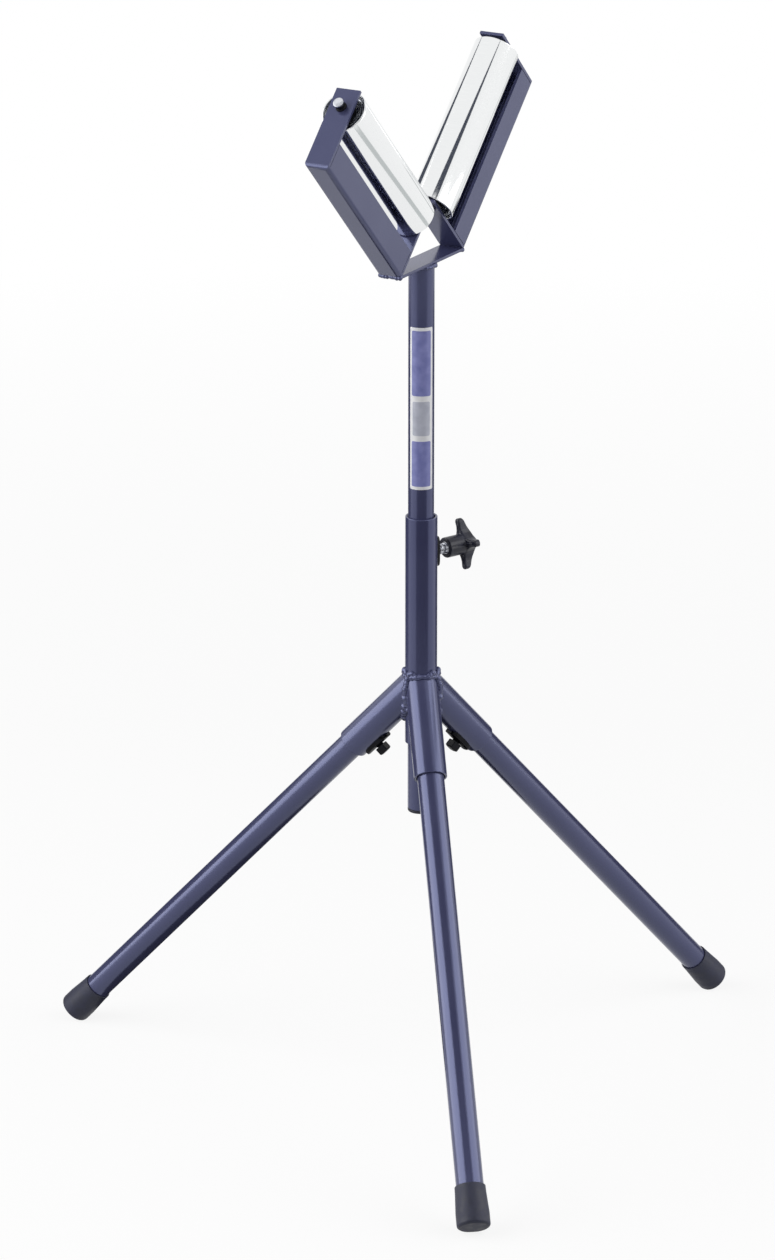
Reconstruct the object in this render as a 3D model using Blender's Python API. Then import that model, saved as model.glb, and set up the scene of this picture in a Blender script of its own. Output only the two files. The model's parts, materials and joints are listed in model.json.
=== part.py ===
"""V roller stand: a tripod whose telescopic mast carries two rollers set in a V.

Metres, +Z up. The two rollers lie in the XZ plane, a pipe on them runs along Y, and the
stand rests on z = 0 with its origin under the middle of its footprint. Each piece is one
object, hung on empties that stand for the frames in which a maker would measure it.
"""

import math

import bmesh
import bpy
from mathutils import Matrix, Vector

MM = 0.001

# Gaps and fits
SEAT_GAP = 0.3 * MM  # between pieces that touch on the real stand
TUBE_PLAY = 0.8 * MM  # radial play of a sliding tube in its outer tube
CUT_OVERRUN = 2.0 * MM  # how far a cutter runs past the surface it cuts

# Mast and the sleeve it slides in; heights are from the hub, where the leg axes meet
MAST_DIAMETER = 25.0 * MM
MAST_WALL = 2.0 * MM
MAST_TAIL = 135.5 * MM
HEAD_HEIGHT = 414.5 * MM
SLEEVE_WALL = 2.2 * MM
SLEEVE_ABOVE = 165.0 * MM
SLEEVE_BELOW = 64.3 * MM
PLUG_FLANGE = 3.0 * MM
PLUG_DEPTH = 14.0 * MM

# Legs and the sockets they slide in; lengths run from the hub along the leg's axis
LEG_NAMES = ("left", "right", "front")
LEG_SLOPE = math.radians(47.0)  # below the horizontal
TRIPOD_TURN = math.radians(7.0)  # the V stands this much off square to the legs
LEG_DIAMETER = 26.0 * MM
LEG_WALL = 2.0 * MM
LEG_REACH = 556.0 * MM
SOCKET_WALL = 2.2 * MM
SOCKET_REACH = 104.3 * MM
LEG_SCREW_SETBACK = 20.8 * MM  # from the socket's mouth

# Rubber feet
FOOT_LENGTH = 40.0 * MM
FOOT_MOUTH_WALL = 1.2 * MM
FOOT_TOE_WALL = 2.7 * MM
FOOT_SOLE = 6.0 * MM
FOOT_EDGE = 3.0 * MM
FOOT_FLAT = 1.0 * MM  # worn off where the foot meets the floor

# Screw pads, curved to the tube that they are welded to
PAD_LENGTH = 30.0 * MM
PAD_WIDTH = 17.0 * MM
PAD_THICKNESS = 2.7 * MM
PAD_CORNER = 6.0 * MM

# Square headed leg screws
LEG_SCREW_DIAMETER = 8.0 * MM
LEG_SCREW_HEAD = 10.0 * MM  # across the flats
LEG_SCREW_HEAD_HEIGHT = 8.0 * MM
LEG_SCREW_NECK = 1.0 * MM  # bare thread between pad and head

# Mast clamp: screw, bush and cross knob
CLAMP_DROP = 38.0 * MM  # below the sleeve's rim
CLAMP_SCREW_DIAMETER = 10.0 * MM
CLAMP_SCREW_BARE = 10.2 * MM  # between pad and knob
CLAMP_SCREW_GRIP = 18.0 * MM  # held inside the knob
BUSH_DIAMETER = 14.0 * MM
KNOB_DIAMETER = 50.0 * MM
KNOB_NECK_DIAMETER = 20.0 * MM
KNOB_NECK_LENGTH = 18.3 * MM
KNOB_ROOT_THICKNESS = 12.5 * MM
KNOB_TIP_THICKNESS = 5.5 * MM
KNOB_TIP_WIDTH = 7.0 * MM
KNOB_VALLEY_DIAMETER = 23.0 * MM
KNOB_EDGE = 1.0 * MM
KNOB_CROWN = 2.0 * MM
KNOB_TURN = math.radians(-15.0)

# Head: base plate and the two folded roller brackets
V_TILT = math.radians(45.0)  # of each roller above the horizontal
SHEET = 3.0 * MM
BRACKET_WIDTH = 25.0 * MM
BRACKET_LENGTH = 191.0 * MM
FLANGE_HEIGHT = 29.0 * MM
TAB_HEIGHT = 85.0 * MM
TAB_TOP_GAP = 0.8 * MM  # between the two lower tabs
FOLD_RADIUS = 3.0 * MM

# Rollers, their bearings and axles
ROLLER_DIAMETER = 44.0 * MM
ROLLER_WALL = 2.0 * MM
ROLLER_RIM = 1.6 * MM
ROLLER_LOWER_GAP = 1.5 * MM
ROLLER_UPPER_GAP = 3.5 * MM
AXLE_DIAMETER = 10.0 * MM
AXLE_EDGE = 19.5 * MM  # axle centre to the tab's free edge
AXLE_PROUD = 8.0 * MM
NUT_FLATS = 17.0 * MM
NUT_HEIGHT = 5.0 * MM
HUB_RECESS = 5.0 * MM
HUB_WIDTH = 8.0 * MM
BEARING_DIAMETER = 26.0 * MM
BEARING_RACE = 3.5 * MM
BEARING_WIDTH = 8.0 * MM

# Facets round each kind of piece
TUBE_SIDES = 32
ROLLER_SIDES = 40
SMALL_SIDES = 20
NUT_SIDES = 24
HEX_SIDES = 6
SQUARE_SIDES = 4
FOLD_STEPS = 3
EDGE_STEPS = 3
KNOB_ARMS = 4
KNOB_ARC_STEPS = 5
SHARP_ANGLE = math.radians(35.0)  # edges past this are drawn sharp

# Sizes that follow from those above
MAST_RADIUS = MAST_DIAMETER / 2
SLEEVE_BORE = MAST_RADIUS + TUBE_PLAY
SLEEVE_RADIUS = SLEEVE_BORE + SLEEVE_WALL
LEG_RADIUS = LEG_DIAMETER / 2
SOCKET_BORE = LEG_RADIUS + TUBE_PLAY
SOCKET_RADIUS = SOCKET_BORE + SOCKET_WALL
TUBE_SHIFT = TUBE_PLAY - SEAT_GAP  # a clamped tube is pushed this far off centre
FOOT_BORE = LEG_RADIUS + SEAT_GAP
FOOT_TOE_RADIUS = FOOT_BORE + FOOT_TOE_WALL
ROLLER_RADIUS = ROLLER_DIAMETER / 2
AXLE_RADIUS = AXLE_DIAMETER / 2
AXLE_HEIGHT = TAB_HEIGHT - AXLE_EDGE
ROLLER_START = SHEET + ROLLER_LOWER_GAP
ROLLER_END = BRACKET_LENGTH - SHEET - ROLLER_UPPER_GAP
TAB_REACH = TAB_HEIGHT * math.sin(V_TILT)
ROLLER_REACH = (AXLE_HEIGHT + ROLLER_RADIUS) * math.sin(V_TILT) - ROLLER_START * math.cos(V_TILT)
HEAD_HALF_SPAN = max(TAB_REACH, ROLLER_REACH) + TAB_TOP_GAP / 2
LEG_SPACING = 2 * math.pi / len(LEG_NAMES)
FIRST_LEG_AZIMUTH = math.pi / 2 + TRIPOD_TURN
CLAMP_AZIMUTH = FIRST_LEG_AZIMUTH - LEG_SPACING  # over the right leg
HUB_HEIGHT = (
    (LEG_REACH - FOOT_EDGE) * math.sin(LEG_SLOPE)
    + (FOOT_TOE_RADIUS - FOOT_EDGE - TUBE_SHIFT) * math.cos(LEG_SLOPE)
    + FOOT_EDGE
    - FOOT_FLAT
)


def clear_scene():
    """Start from an empty file."""
    for old in list(bpy.data.objects):
        bpy.data.objects.remove(old, do_unlink=True)


def make_material(name, colour, metallic, roughness):
    """One Principled finish."""
    material = bpy.data.materials.new(name)
    material.use_nodes = True
    shader = material.node_tree.nodes["Principled BSDF"]
    shader.inputs["Base Color"].default_value = (*colour, 1)
    shader.inputs["Metallic"].default_value = metallic
    shader.inputs["Roughness"].default_value = roughness
    return material


def add_frame(name, parent=None, matrix=None):
    """An empty: a frame that pieces are measured in."""
    frame = bpy.data.objects.new(name, None)
    bpy.context.collection.objects.link(frame)
    frame.parent = parent
    if matrix is not None:
        frame.matrix_local = matrix
    return frame


def add_piece(name, mesh, parent, material=None):
    """Link a mesh as the piece of that name, in its parent's frame."""
    mesh.name = name
    piece = bpy.data.objects.new(name, mesh)
    bpy.context.collection.objects.link(piece)
    piece.parent = parent
    if material is not None:
        mesh.materials.append(material)
    mesh.shade_smooth()
    mesh.set_sharp_from_angle(angle=SHARP_ANGLE)
    return piece


def add_cutter(name, mesh, parent=None):
    """A shape that only cuts others."""
    cutter = add_piece(name, mesh, parent)
    cutter.hide_render = True
    cutter.display_type = "WIRE"
    return cutter


def combine(piece, cutter, operation="DIFFERENCE"):
    """Cut the piece with a cutter, or keep only what lies inside it."""
    modifier = piece.modifiers.new(cutter.name, "BOOLEAN")
    modifier.operation = operation
    modifier.solver = "EXACT"
    modifier.object = cutter


def finish_mesh(shape, name):
    """Close a bmesh up into a mesh whose faces all point out."""
    bmesh.ops.recalc_face_normals(shape, faces=shape.faces)
    mesh = bpy.data.meshes.new(name)
    shape.to_mesh(mesh)
    shape.free()
    return mesh


def loft(rings, closed_path=False):
    """Skin equal rings of points one to the next, and cap the ends of an open path."""
    shape = bmesh.new()
    loops = [[shape.verts.new(point) for point in ring] for ring in rings]
    pairs = list(zip(loops, loops[1:]))
    if closed_path:
        pairs.append((loops[-1], loops[0]))
    for lower, upper in pairs:
        for i in range(len(lower)):
            j = (i + 1) % len(lower)
            shape.faces.new((lower[i], lower[j], upper[j], upper[i]))
    if not closed_path:
        shape.faces.new(loops[0])
        shape.faces.new(loops[-1])
    return finish_mesh(shape, "loft")


def ring_at(radius, height, sides):
    """Points of a circle about Z."""
    angles = [2 * math.pi * i / sides for i in range(sides)]
    return [Vector((radius * math.cos(a), radius * math.sin(a), height)) for a in angles]


def turned(profile, sides=TUBE_SIDES):
    """A solid round Z from (radius, height) stations."""
    return loft([ring_at(radius, height, sides) for radius, height in profile])


def turned_ring(profile, sides=TUBE_SIDES):
    """A ring round Z from a closed loop of (radius, height) stations."""
    return loft([ring_at(radius, height, sides) for radius, height in profile], closed_path=True)


def tube(outer, inner, low, high, sides=TUBE_SIDES):
    """A plain tube along Z."""
    return turned_ring(((outer, low), (outer, high), (inner, high), (inner, low)), sides)


def hexagon_at(flats, height):
    """Points round a hexagon about Z, one for each point of a ring with as many sides."""
    points = ring_at(1, 0, NUT_SIDES)
    sector = 2 * math.pi / HEX_SIDES
    spokes = [(math.atan2(p.y, p.x) + 2 * math.pi) % sector - sector / 2 for p in points]
    lengths = [flats / 2 / math.cos(spoke) for spoke in spokes]
    return [Vector((p.x * r, p.y * r, height)) for p, r in zip(points, lengths)]


def nut(flats, bore, low, high):
    """A hexagonal nut along Z."""
    outer = [hexagon_at(flats, low), hexagon_at(flats, high)]
    inner = [ring_at(bore, high, NUT_SIDES), ring_at(bore, low, NUT_SIDES)]
    return loft(outer + inner, closed_path=True)


def rod(radius, low, high, sides=SMALL_SIDES):
    """A plain rod along Z."""
    return turned(((radius, low), (radius, high)), sides)


def prism(outline, low, high):
    """An outline in XY carried along Z."""
    return loft([[Vector((x, y, level)) for x, y in outline] for level in (low, high)])


def block(low, high):
    """A box between two corners."""
    outline = ((low[0], low[1]), (high[0], low[1]), (high[0], high[1]), (low[0], high[1]))
    return prism(outline, low[2], high[2])


def turn_z(angle):
    return Matrix.Rotation(angle, 4, "Z")


def turn_y(angle):
    return Matrix.Rotation(angle, 4, "Y")


def make_finishes():
    """The stand's finishes, by the word that the pieces use."""
    return {
        "paint": make_material("violet_blue_paint", (0.062, 0.066, 0.165), 0.0, 0.38),
        "chrome": make_material("chromed_steel", (0.80, 0.81, 0.82), 1.0, 0.12),
        "steel": make_material("zinc_steel", (0.62, 0.63, 0.66), 1.0, 0.35),
        "dark_steel": make_material("blackened_steel", (0.045, 0.045, 0.055), 0.8, 0.45),
        "rubber": make_material("black_rubber", (0.035, 0.036, 0.045), 0.0, 0.65),
        "plastic": make_material("black_plastic", (0.022, 0.022, 0.03), 0.0, 0.35),
    }


def rounded_rectangle(length, width, corner):
    """Points of an outline in XY, its length along X, with round corners."""
    points = []
    for turn, (x_side, y_side) in enumerate(((1, 1), (-1, 1), (-1, -1), (1, -1))):
        middle = (x_side * (length / 2 - corner), y_side * (width / 2 - corner))
        for i in range(EDGE_STEPS + 1):
            angle = (turn + i / EDGE_STEPS) * math.pi / 2
            points.append((middle[0] + corner * math.cos(angle), middle[1] + corner * math.sin(angle)))
    return points


def make_pad(name, tube_radius, screw_radius, frame, screw_frame, finish):
    """A pad with round corners, curved to its tube, with the screw's hole through it."""
    inner = tube_radius + SEAT_GAP
    outer = inner + PAD_THICKNESS
    pad = add_piece(name, tube(outer, inner, -PAD_LENGTH, PAD_LENGTH), frame, finish)
    keep = prism(rounded_rectangle(PAD_LENGTH, PAD_WIDTH, PAD_CORNER), 0, outer + CUT_OVERRUN)
    combine(pad, add_cutter(f"{name}_outline", keep, screw_frame), "INTERSECT")
    hole = rod(screw_radius + SEAT_GAP, 0, outer + CUT_OVERRUN)
    cutter = add_cutter(f"{name}_hole", hole, screw_frame)
    combine(pad, cutter)
    return cutter, outer


def make_sleeve(hub, finishes):
    """The outer tube, the clamp's pad on it and the clamp screw's frame."""
    bore = tube(SLEEVE_RADIUS, SLEEVE_BORE, -SLEEVE_BELOW, SLEEVE_ABOVE)
    sleeve = add_piece("mast_sleeve", bore, hub, finishes["paint"])
    height = SLEEVE_ABOVE - CLAMP_DROP
    level = add_frame("clamp_level", hub, Matrix.Translation((0, 0, height)) @ turn_z(CLAMP_AZIMUTH))
    clamp = add_frame("clamp_axis", level, turn_y(math.pi / 2))
    hole, pad_face = make_pad(
        "clamp_pad", SLEEVE_RADIUS, CLAMP_SCREW_DIAMETER / 2, level, clamp, finishes["dark_steel"]
    )
    combine(sleeve, hole)
    return clamp, pad_face


def knob_outline(inset):
    """A cross of round tipped arms joined by hollow arcs, drawn in by an inset."""
    tip = KNOB_TIP_WIDTH / 2
    centre = KNOB_DIAMETER / 2 - tip
    valley = KNOB_VALLEY_DIAMETER / 2
    slant = math.sqrt(2) * centre
    hollow = (valley**2 - slant * valley + centre**2 - tip**2) / (2 * tip + slant - 2 * valley)
    far = (valley + hollow) / math.sqrt(2)
    lean = math.atan2(far, centre - far)
    tip_arc = math.pi - lean
    points = []
    for arm in range(KNOB_ARMS):
        quarter = turn_z(KNOB_TURN + arm * math.pi / 2)
        for i in range(-KNOB_ARC_STEPS, KNOB_ARC_STEPS + 1):
            angle = tip_arc * i / KNOB_ARC_STEPS
            radius = tip - inset
            points.append(quarter @ Vector((centre + radius * math.cos(angle), radius * math.sin(angle), 0)))
        for i in range(1, KNOB_ARC_STEPS):
            share = i / KNOB_ARC_STEPS
            angle = -lean * (1 - share) + (lean - math.pi / 2) * share - math.pi * share
            radius = hollow + inset
            points.append(quarter @ Vector((far + radius * math.cos(angle), far + radius * math.sin(angle), 0)))
    return points


def make_knob(clamp, pad_face, finishes):
    """The clamp's screw, the bush pressed in the knob and the cross knob itself."""
    tip = MAST_RADIUS - TUBE_SHIFT + SEAT_GAP
    start = pad_face + CLAMP_SCREW_BARE
    grip = start + CLAMP_SCREW_GRIP
    screw = rod(CLAMP_SCREW_DIAMETER / 2, tip, grip)
    add_piece("clamp_screw", screw, clamp, finishes["steel"])

    bush_bore = CLAMP_SCREW_DIAMETER / 2 + SEAT_GAP
    bush = tube(BUSH_DIAMETER / 2, bush_bore, start, grip, SMALL_SIDES)
    add_piece("knob_bush", bush, clamp, finishes["steel"])

    arms = start + KNOB_NECK_LENGTH
    crown = arms + KNOB_ROOT_THICKNESS
    levels = ((arms, KNOB_EDGE), (arms + KNOB_EDGE, 0), (crown + CUT_OVERRUN, 0))
    cross = [[Vector((p.x, p.y, z)) for p in knob_outline(inset)] for z, inset in levels]
    knob = add_piece("clamp_knob", loft(cross), clamp, finishes["plastic"])

    neck_radius = KNOB_NECK_DIAMETER / 2
    root_radius = KNOB_VALLEY_DIAMETER / 2
    tip_radius = KNOB_DIAMETER / 2
    slope = (
        (tip_radius + CUT_OVERRUN, arms - CUT_OVERRUN),
        (tip_radius + CUT_OVERRUN, arms + KNOB_TIP_THICKNESS),
        (tip_radius, arms + KNOB_TIP_THICKNESS),
        (root_radius - KNOB_EDGE, crown),
    )
    combine(knob, add_cutter("clamp_knob_slope", turned(slope), clamp), "INTERSECT")
    neck = (
        (neck_radius - KNOB_EDGE / 2, start),
        (neck_radius, start + KNOB_EDGE / 2),
        (neck_radius, arms - KNOB_EDGE),
        (root_radius, arms + KNOB_EDGE),
        (root_radius, crown - KNOB_EDGE),
        (root_radius - KNOB_EDGE, crown + KNOB_CROWN / 2),
        (root_radius / 2, crown + KNOB_CROWN),
    )
    combine(knob, add_cutter("clamp_knob_neck", turned(neck), clamp), "UNION")
    socket = rod(BUSH_DIAMETER / 2 + SEAT_GAP, start - CUT_OVERRUN, grip + SEAT_GAP)
    combine(knob, add_cutter("clamp_knob_socket", socket, clamp))


def make_foot(name, frame, floor, finish):
    """A flared rubber cup over the leg's end, worn flat where it meets the floor."""
    mouth = LEG_REACH - FOOT_LENGTH
    mouth_radius = FOOT_BORE + FOOT_MOUTH_WALL
    profile = [(mouth_radius - FOOT_MOUTH_WALL / 2, mouth), (mouth_radius, mouth + FOOT_MOUTH_WALL)]
    for i in range(EDGE_STEPS + 1):
        angle = math.pi / 2 * i / EDGE_STEPS
        radius = FOOT_TOE_RADIUS - FOOT_EDGE * (1 - math.cos(angle))
        profile.append((radius, LEG_REACH - FOOT_EDGE * (1 - math.sin(angle))))
    inside = LEG_REACH - FOOT_SOLE
    foot = add_piece(name, turned(profile), frame, finish)
    cup = rod(FOOT_BORE, mouth - CUT_OVERRUN, inside, TUBE_SIDES)
    combine(foot, add_cutter(f"{name}_cup", cup, frame))
    combine(foot, floor)


def make_leg(name, azimuth, hub, cutters, finishes):
    """One socket with its pad and screw, and the leg tube and foot that slide in it."""
    sleeve_cutter, wedge_mesh, floor = cutters
    paint = finishes["paint"]
    upright = add_frame(f"{name}_azimuth", hub, turn_z(azimuth))
    axis = add_frame(f"{name}_axis", upright, turn_y(math.pi / 2 + LEG_SLOPE))

    socket = add_piece(f"socket_{name}", tube(SOCKET_RADIUS, SOCKET_BORE, 0, SOCKET_REACH), axis, paint)
    combine(socket, sleeve_cutter)
    combine(socket, add_cutter(f"socket_{name}_neighbours", wedge_mesh.copy(), upright))
    place = Matrix.Translation((0, 0, SOCKET_REACH - LEG_SCREW_SETBACK))
    level = add_frame(f"{name}_screw_level", axis, place)
    screw_axis = add_frame(f"{name}_screw_axis", level, turn_y(math.pi / 2))
    hole, pad_face = make_pad(
        f"pad_{name}", SOCKET_RADIUS, LEG_SCREW_DIAMETER / 2, level, screw_axis, finishes["dark_steel"]
    )
    combine(socket, hole)

    tip = LEG_RADIUS - TUBE_SHIFT + SEAT_GAP
    head = pad_face + LEG_SCREW_NECK
    shank = rod(LEG_SCREW_DIAMETER / 2, tip, head + LEG_SCREW_HEAD_HEIGHT / 2)
    screw = add_piece(f"leg_screw_{name}", shank, screw_axis, finishes["dark_steel"])
    corner = LEG_SCREW_HEAD / math.sqrt(2)
    chamfer = (corner - LEG_SCREW_HEAD / 2) / 2
    stations = (
        (corner, head),
        (corner, head + LEG_SCREW_HEAD_HEIGHT - chamfer),
        (corner - chamfer, head + LEG_SCREW_HEAD_HEIGHT),
    )
    head_shape = turned(stations, SQUARE_SIDES)
    combine(screw, add_cutter(f"leg_screw_{name}_head", head_shape, screw_axis), "UNION")

    sliding = add_frame(f"{name}_sliding", axis, Matrix.Translation((-TUBE_SHIFT, 0, 0)))
    stop = (SLEEVE_RADIUS + SEAT_GAP + (LEG_RADIUS - TUBE_SHIFT) * math.sin(LEG_SLOPE)) / math.cos(LEG_SLOPE)
    end = LEG_REACH - FOOT_SOLE - SEAT_GAP
    leg_tube = tube(LEG_RADIUS, LEG_RADIUS - LEG_WALL, stop + SEAT_GAP, end)
    add_piece(f"leg_tube_{name}", leg_tube, sliding, paint)
    make_foot(f"foot_{name}", sliding, floor, finishes["rubber"])


def make_legs(hub, finishes):
    """Three legs, their sockets saddled on the sleeve and mitred where they meet."""
    reach = 2 * SOCKET_REACH
    saddle = rod(SLEEVE_RADIUS + SEAT_GAP, -reach, reach, TUBE_SIDES)
    sleeve_cutter = add_cutter("sleeve_saddle", saddle, hub)
    apex = SEAT_GAP / 2 / math.sin(LEG_SPACING / 2)
    side = (reach * math.cos(LEG_SPACING / 2), reach * math.sin(LEG_SPACING / 2))
    outline = ((apex, 0), side, (-reach, side[1]), (-reach, -side[1]), (side[0], -side[1]))
    wedge_mesh = prism(outline, -reach, reach)
    floor_mesh = block((-2 * LEG_REACH, -2 * LEG_REACH, -FOOT_LENGTH), (2 * LEG_REACH, 2 * LEG_REACH, 0))
    floor = add_cutter("floor_wear", floor_mesh)
    for number, name in enumerate(LEG_NAMES):
        azimuth = FIRST_LEG_AZIMUTH - number * LEG_SPACING
        make_leg(name, azimuth, hub, (sleeve_cutter, wedge_mesh, floor), finishes)
    bpy.data.meshes.remove(wedge_mesh)


def make_mast(mast, finishes):
    """The sliding tube with the plug in its lower end."""
    bottom = -MAST_TAIL + PLUG_FLANGE + SEAT_GAP
    bore = MAST_RADIUS - MAST_WALL
    pipe = tube(MAST_RADIUS, bore, bottom, HEAD_HEIGHT - SEAT_GAP)
    add_piece("mast_tube", pipe, mast, finishes["paint"])
    spigot = bore - SEAT_GAP
    flange_top = bottom - SEAT_GAP
    stations = (
        (MAST_RADIUS - PLUG_FLANGE / 4, -MAST_TAIL),
        (MAST_RADIUS, -MAST_TAIL + PLUG_FLANGE / 4),
        (MAST_RADIUS, flange_top),
        (spigot, flange_top),
        (spigot, flange_top + PLUG_DEPTH),
    )
    add_piece("mast_plug", turned(stations), mast, finishes["plastic"])


def make_base_plate(head, finishes):
    """The flat plate on the mast that both brackets stand on, its ends cut to their slope."""
    rise = SHEET / math.tan(V_TILT)
    end = HEAD_HALF_SPAN - SEAT_GAP / math.sin(V_TILT)
    half = BRACKET_WIDTH / 2
    outline = ((-end, 0), (end, 0), (end - rise, SHEET), (rise - end, SHEET))
    rings = [[Vector((x, y, z)) for x, z in outline] for y in (-half, half)]
    add_piece("base_plate", loft(rings), head, finishes["paint"])


def make_bracket(name, bracket, finishes):
    """Back, two flanges and two end tabs folded from one sheet, bored for the axle."""
    half = BRACKET_WIDTH / 2
    sheet_block = block((0, -half, 0), (TAB_HEIGHT, half, BRACKET_LENGTH))
    folded = add_piece(f"bracket_{name}", sheet_block, bracket, finishes["paint"])
    shape = bmesh.new()
    shape.from_mesh(folded.data)
    folds = [edge for edge in shape.edges if all(abs(v.co.x) < SEAT_GAP for v in edge.verts)]
    bmesh.ops.bevel(shape, geom=folds, offset=FOLD_RADIUS, segments=FOLD_STEPS, affect="EDGES", profile=0.5)
    shape.to_mesh(folded.data)
    shape.free()
    far = TAB_HEIGHT + CUT_OVERRUN
    inner = half - SHEET
    low, high = SHEET, BRACKET_LENGTH - SHEET
    channel = add_cutter(f"bracket_{name}_channel", block((SHEET, -inner, low), (far, inner, high)), bracket)
    combine(folded, channel)
    outer = half + CUT_OVERRUN
    window = add_cutter(f"bracket_{name}_window", block((FLANGE_HEIGHT, -outer, low), (far, outer, high)), bracket)
    combine(folded, window)
    axis = add_frame(f"{name}_roller_axis", bracket, Matrix.Translation((AXLE_HEIGHT, 0, 0)))
    hole = rod(AXLE_RADIUS + SEAT_GAP, -CUT_OVERRUN, BRACKET_LENGTH + CUT_OVERRUN)
    combine(folded, add_cutter(f"bracket_{name}_hole", hole, axis))
    return axis


def make_roller_end(name, axis, near_tab, tab_face, roller_face, direction, finishes):
    """Nut, inner race, outer race and pressed hub at one end of a roller."""
    def station(distance):
        return tab_face + direction * distance

    def span(first, last):
        return min(first, last), max(first, last)

    bore = AXLE_RADIUS + SEAT_GAP
    nut_low, nut_high = span(station(SEAT_GAP), station(SEAT_GAP + NUT_HEIGHT))
    axle_nut = nut(NUT_FLATS, bore, nut_low, nut_high)
    add_piece(f"axle_nut_{name}_{near_tab}", axle_nut, axis, finishes["steel"])
    face = roller_face + direction * HUB_RECESS
    race_low, race_high = span(face, face + direction * BEARING_WIDTH)
    outer = BEARING_DIAMETER / 2
    outer_race = tube(outer, outer - BEARING_RACE, race_low, race_high, SMALL_SIDES)
    add_piece(f"bearing_outer_{name}_{near_tab}", outer_race, axis, finishes["steel"])
    inner_race_radius = outer - BEARING_RACE - SEAT_GAP
    inner_low, inner_high = span(station(NUT_HEIGHT + 2 * SEAT_GAP), face + direction * BEARING_WIDTH)
    inner_race = tube(inner_race_radius, bore, inner_low, inner_high, SMALL_SIDES)
    add_piece(f"bearing_inner_{name}_{near_tab}", inner_race, axis, finishes["steel"])
    hub_low, hub_high = span(face, face + direction * HUB_WIDTH)
    hub = tube(ROLLER_RADIUS - ROLLER_WALL - SEAT_GAP, outer + SEAT_GAP, hub_low, hub_high, SMALL_SIDES)
    add_piece(f"roller_hub_{name}_{near_tab}", hub, axis, finishes["dark_steel"])


def make_roller(name, axis, finishes):
    """The chromed shell on its two bearings, and the axle screwed through both tabs."""
    axle = rod(AXLE_RADIUS, -AXLE_PROUD, BRACKET_LENGTH + AXLE_PROUD)
    add_piece(f"axle_{name}", axle, axis, finishes["steel"])
    bore = ROLLER_RADIUS - ROLLER_WALL
    profile = (
        (bore, ROLLER_START),
        (ROLLER_RADIUS - ROLLER_RIM, ROLLER_START),
        (ROLLER_RADIUS, ROLLER_START + ROLLER_RIM),
        (ROLLER_RADIUS, ROLLER_END - ROLLER_RIM),
        (ROLLER_RADIUS - ROLLER_RIM, ROLLER_END),
        (bore, ROLLER_END),
    )
    add_piece(f"roller_{name}", turned_ring(profile, ROLLER_SIDES), axis, finishes["chrome"])
    make_roller_end(name, axis, "lower", SHEET, ROLLER_START, 1, finishes)
    make_roller_end(name, axis, "upper", BRACKET_LENGTH - SHEET, ROLLER_END, -1, finishes)


def make_head(mast, finishes):
    """The V: base plate, two brackets and two rollers."""
    head = add_frame("head", mast, Matrix.Translation((0, 0, HEAD_HEIGHT)))
    make_base_plate(head, finishes)
    for name, half_turn in (("right", 0), ("left", math.pi)):
        stand_off = turn_z(half_turn) @ Matrix.Translation((HEAD_HALF_SPAN, 0, 0))
        lean = turn_y(math.pi / 2 - V_TILT) @ turn_z(math.pi)
        bracket = add_frame(f"{name}_bracket_corner", head, stand_off @ lean)
        axis = make_bracket(name, bracket, finishes)
        make_roller(name, axis, finishes)


def centre_footprint(hub):
    """Set the hub over the origin's middle of the footprint, at its height."""
    hub.location = (0, 0, HUB_HEIGHT)
    bpy.context.view_layer.update()
    feet = [bpy.data.objects[f"foot_{name}"] for name in LEG_NAMES]
    points = [foot.matrix_world @ vertex.co for foot in feet for vertex in foot.data.vertices]
    middle = [(min(p[i] for p in points) + max(p[i] for p in points)) / 2 for i in (0, 1)]
    hub.location = (-middle[0], -middle[1], HUB_HEIGHT)
    bpy.context.view_layer.update()


def build_stand():
    clear_scene()
    finishes = make_finishes()
    hub = add_frame("hub")
    clamp, pad_face = make_sleeve(hub, finishes)
    make_knob(clamp, pad_face, finishes)
    make_legs(hub, finishes)
    push = turn_z(CLAMP_AZIMUTH) @ Vector((-TUBE_SHIFT, 0, 0))
    mast = add_frame("mast_axis", hub, Matrix.Translation(push))
    make_mast(mast, finishes)
    make_head(mast, finishes)
    centre_footprint(hub)


build_stand()
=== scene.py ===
# %% [markdown]
# # A tripod stand with two rollers in a V
# A welded tripod of painted steel tube holds a mast that slides and swivels. On top of the mast two
# folded brackets lean apart, and each one carries a chromed roller, so that a pipe laid in the V
# can be turned and pushed along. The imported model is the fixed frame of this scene: every fuller
# piece below reads its place and its size from it, and rides on one of its bodies.

# %% Load the frame
import json
import math
from collections import namedtuple

import bmesh
import bpy
from mathutils import Matrix, Vector


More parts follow.
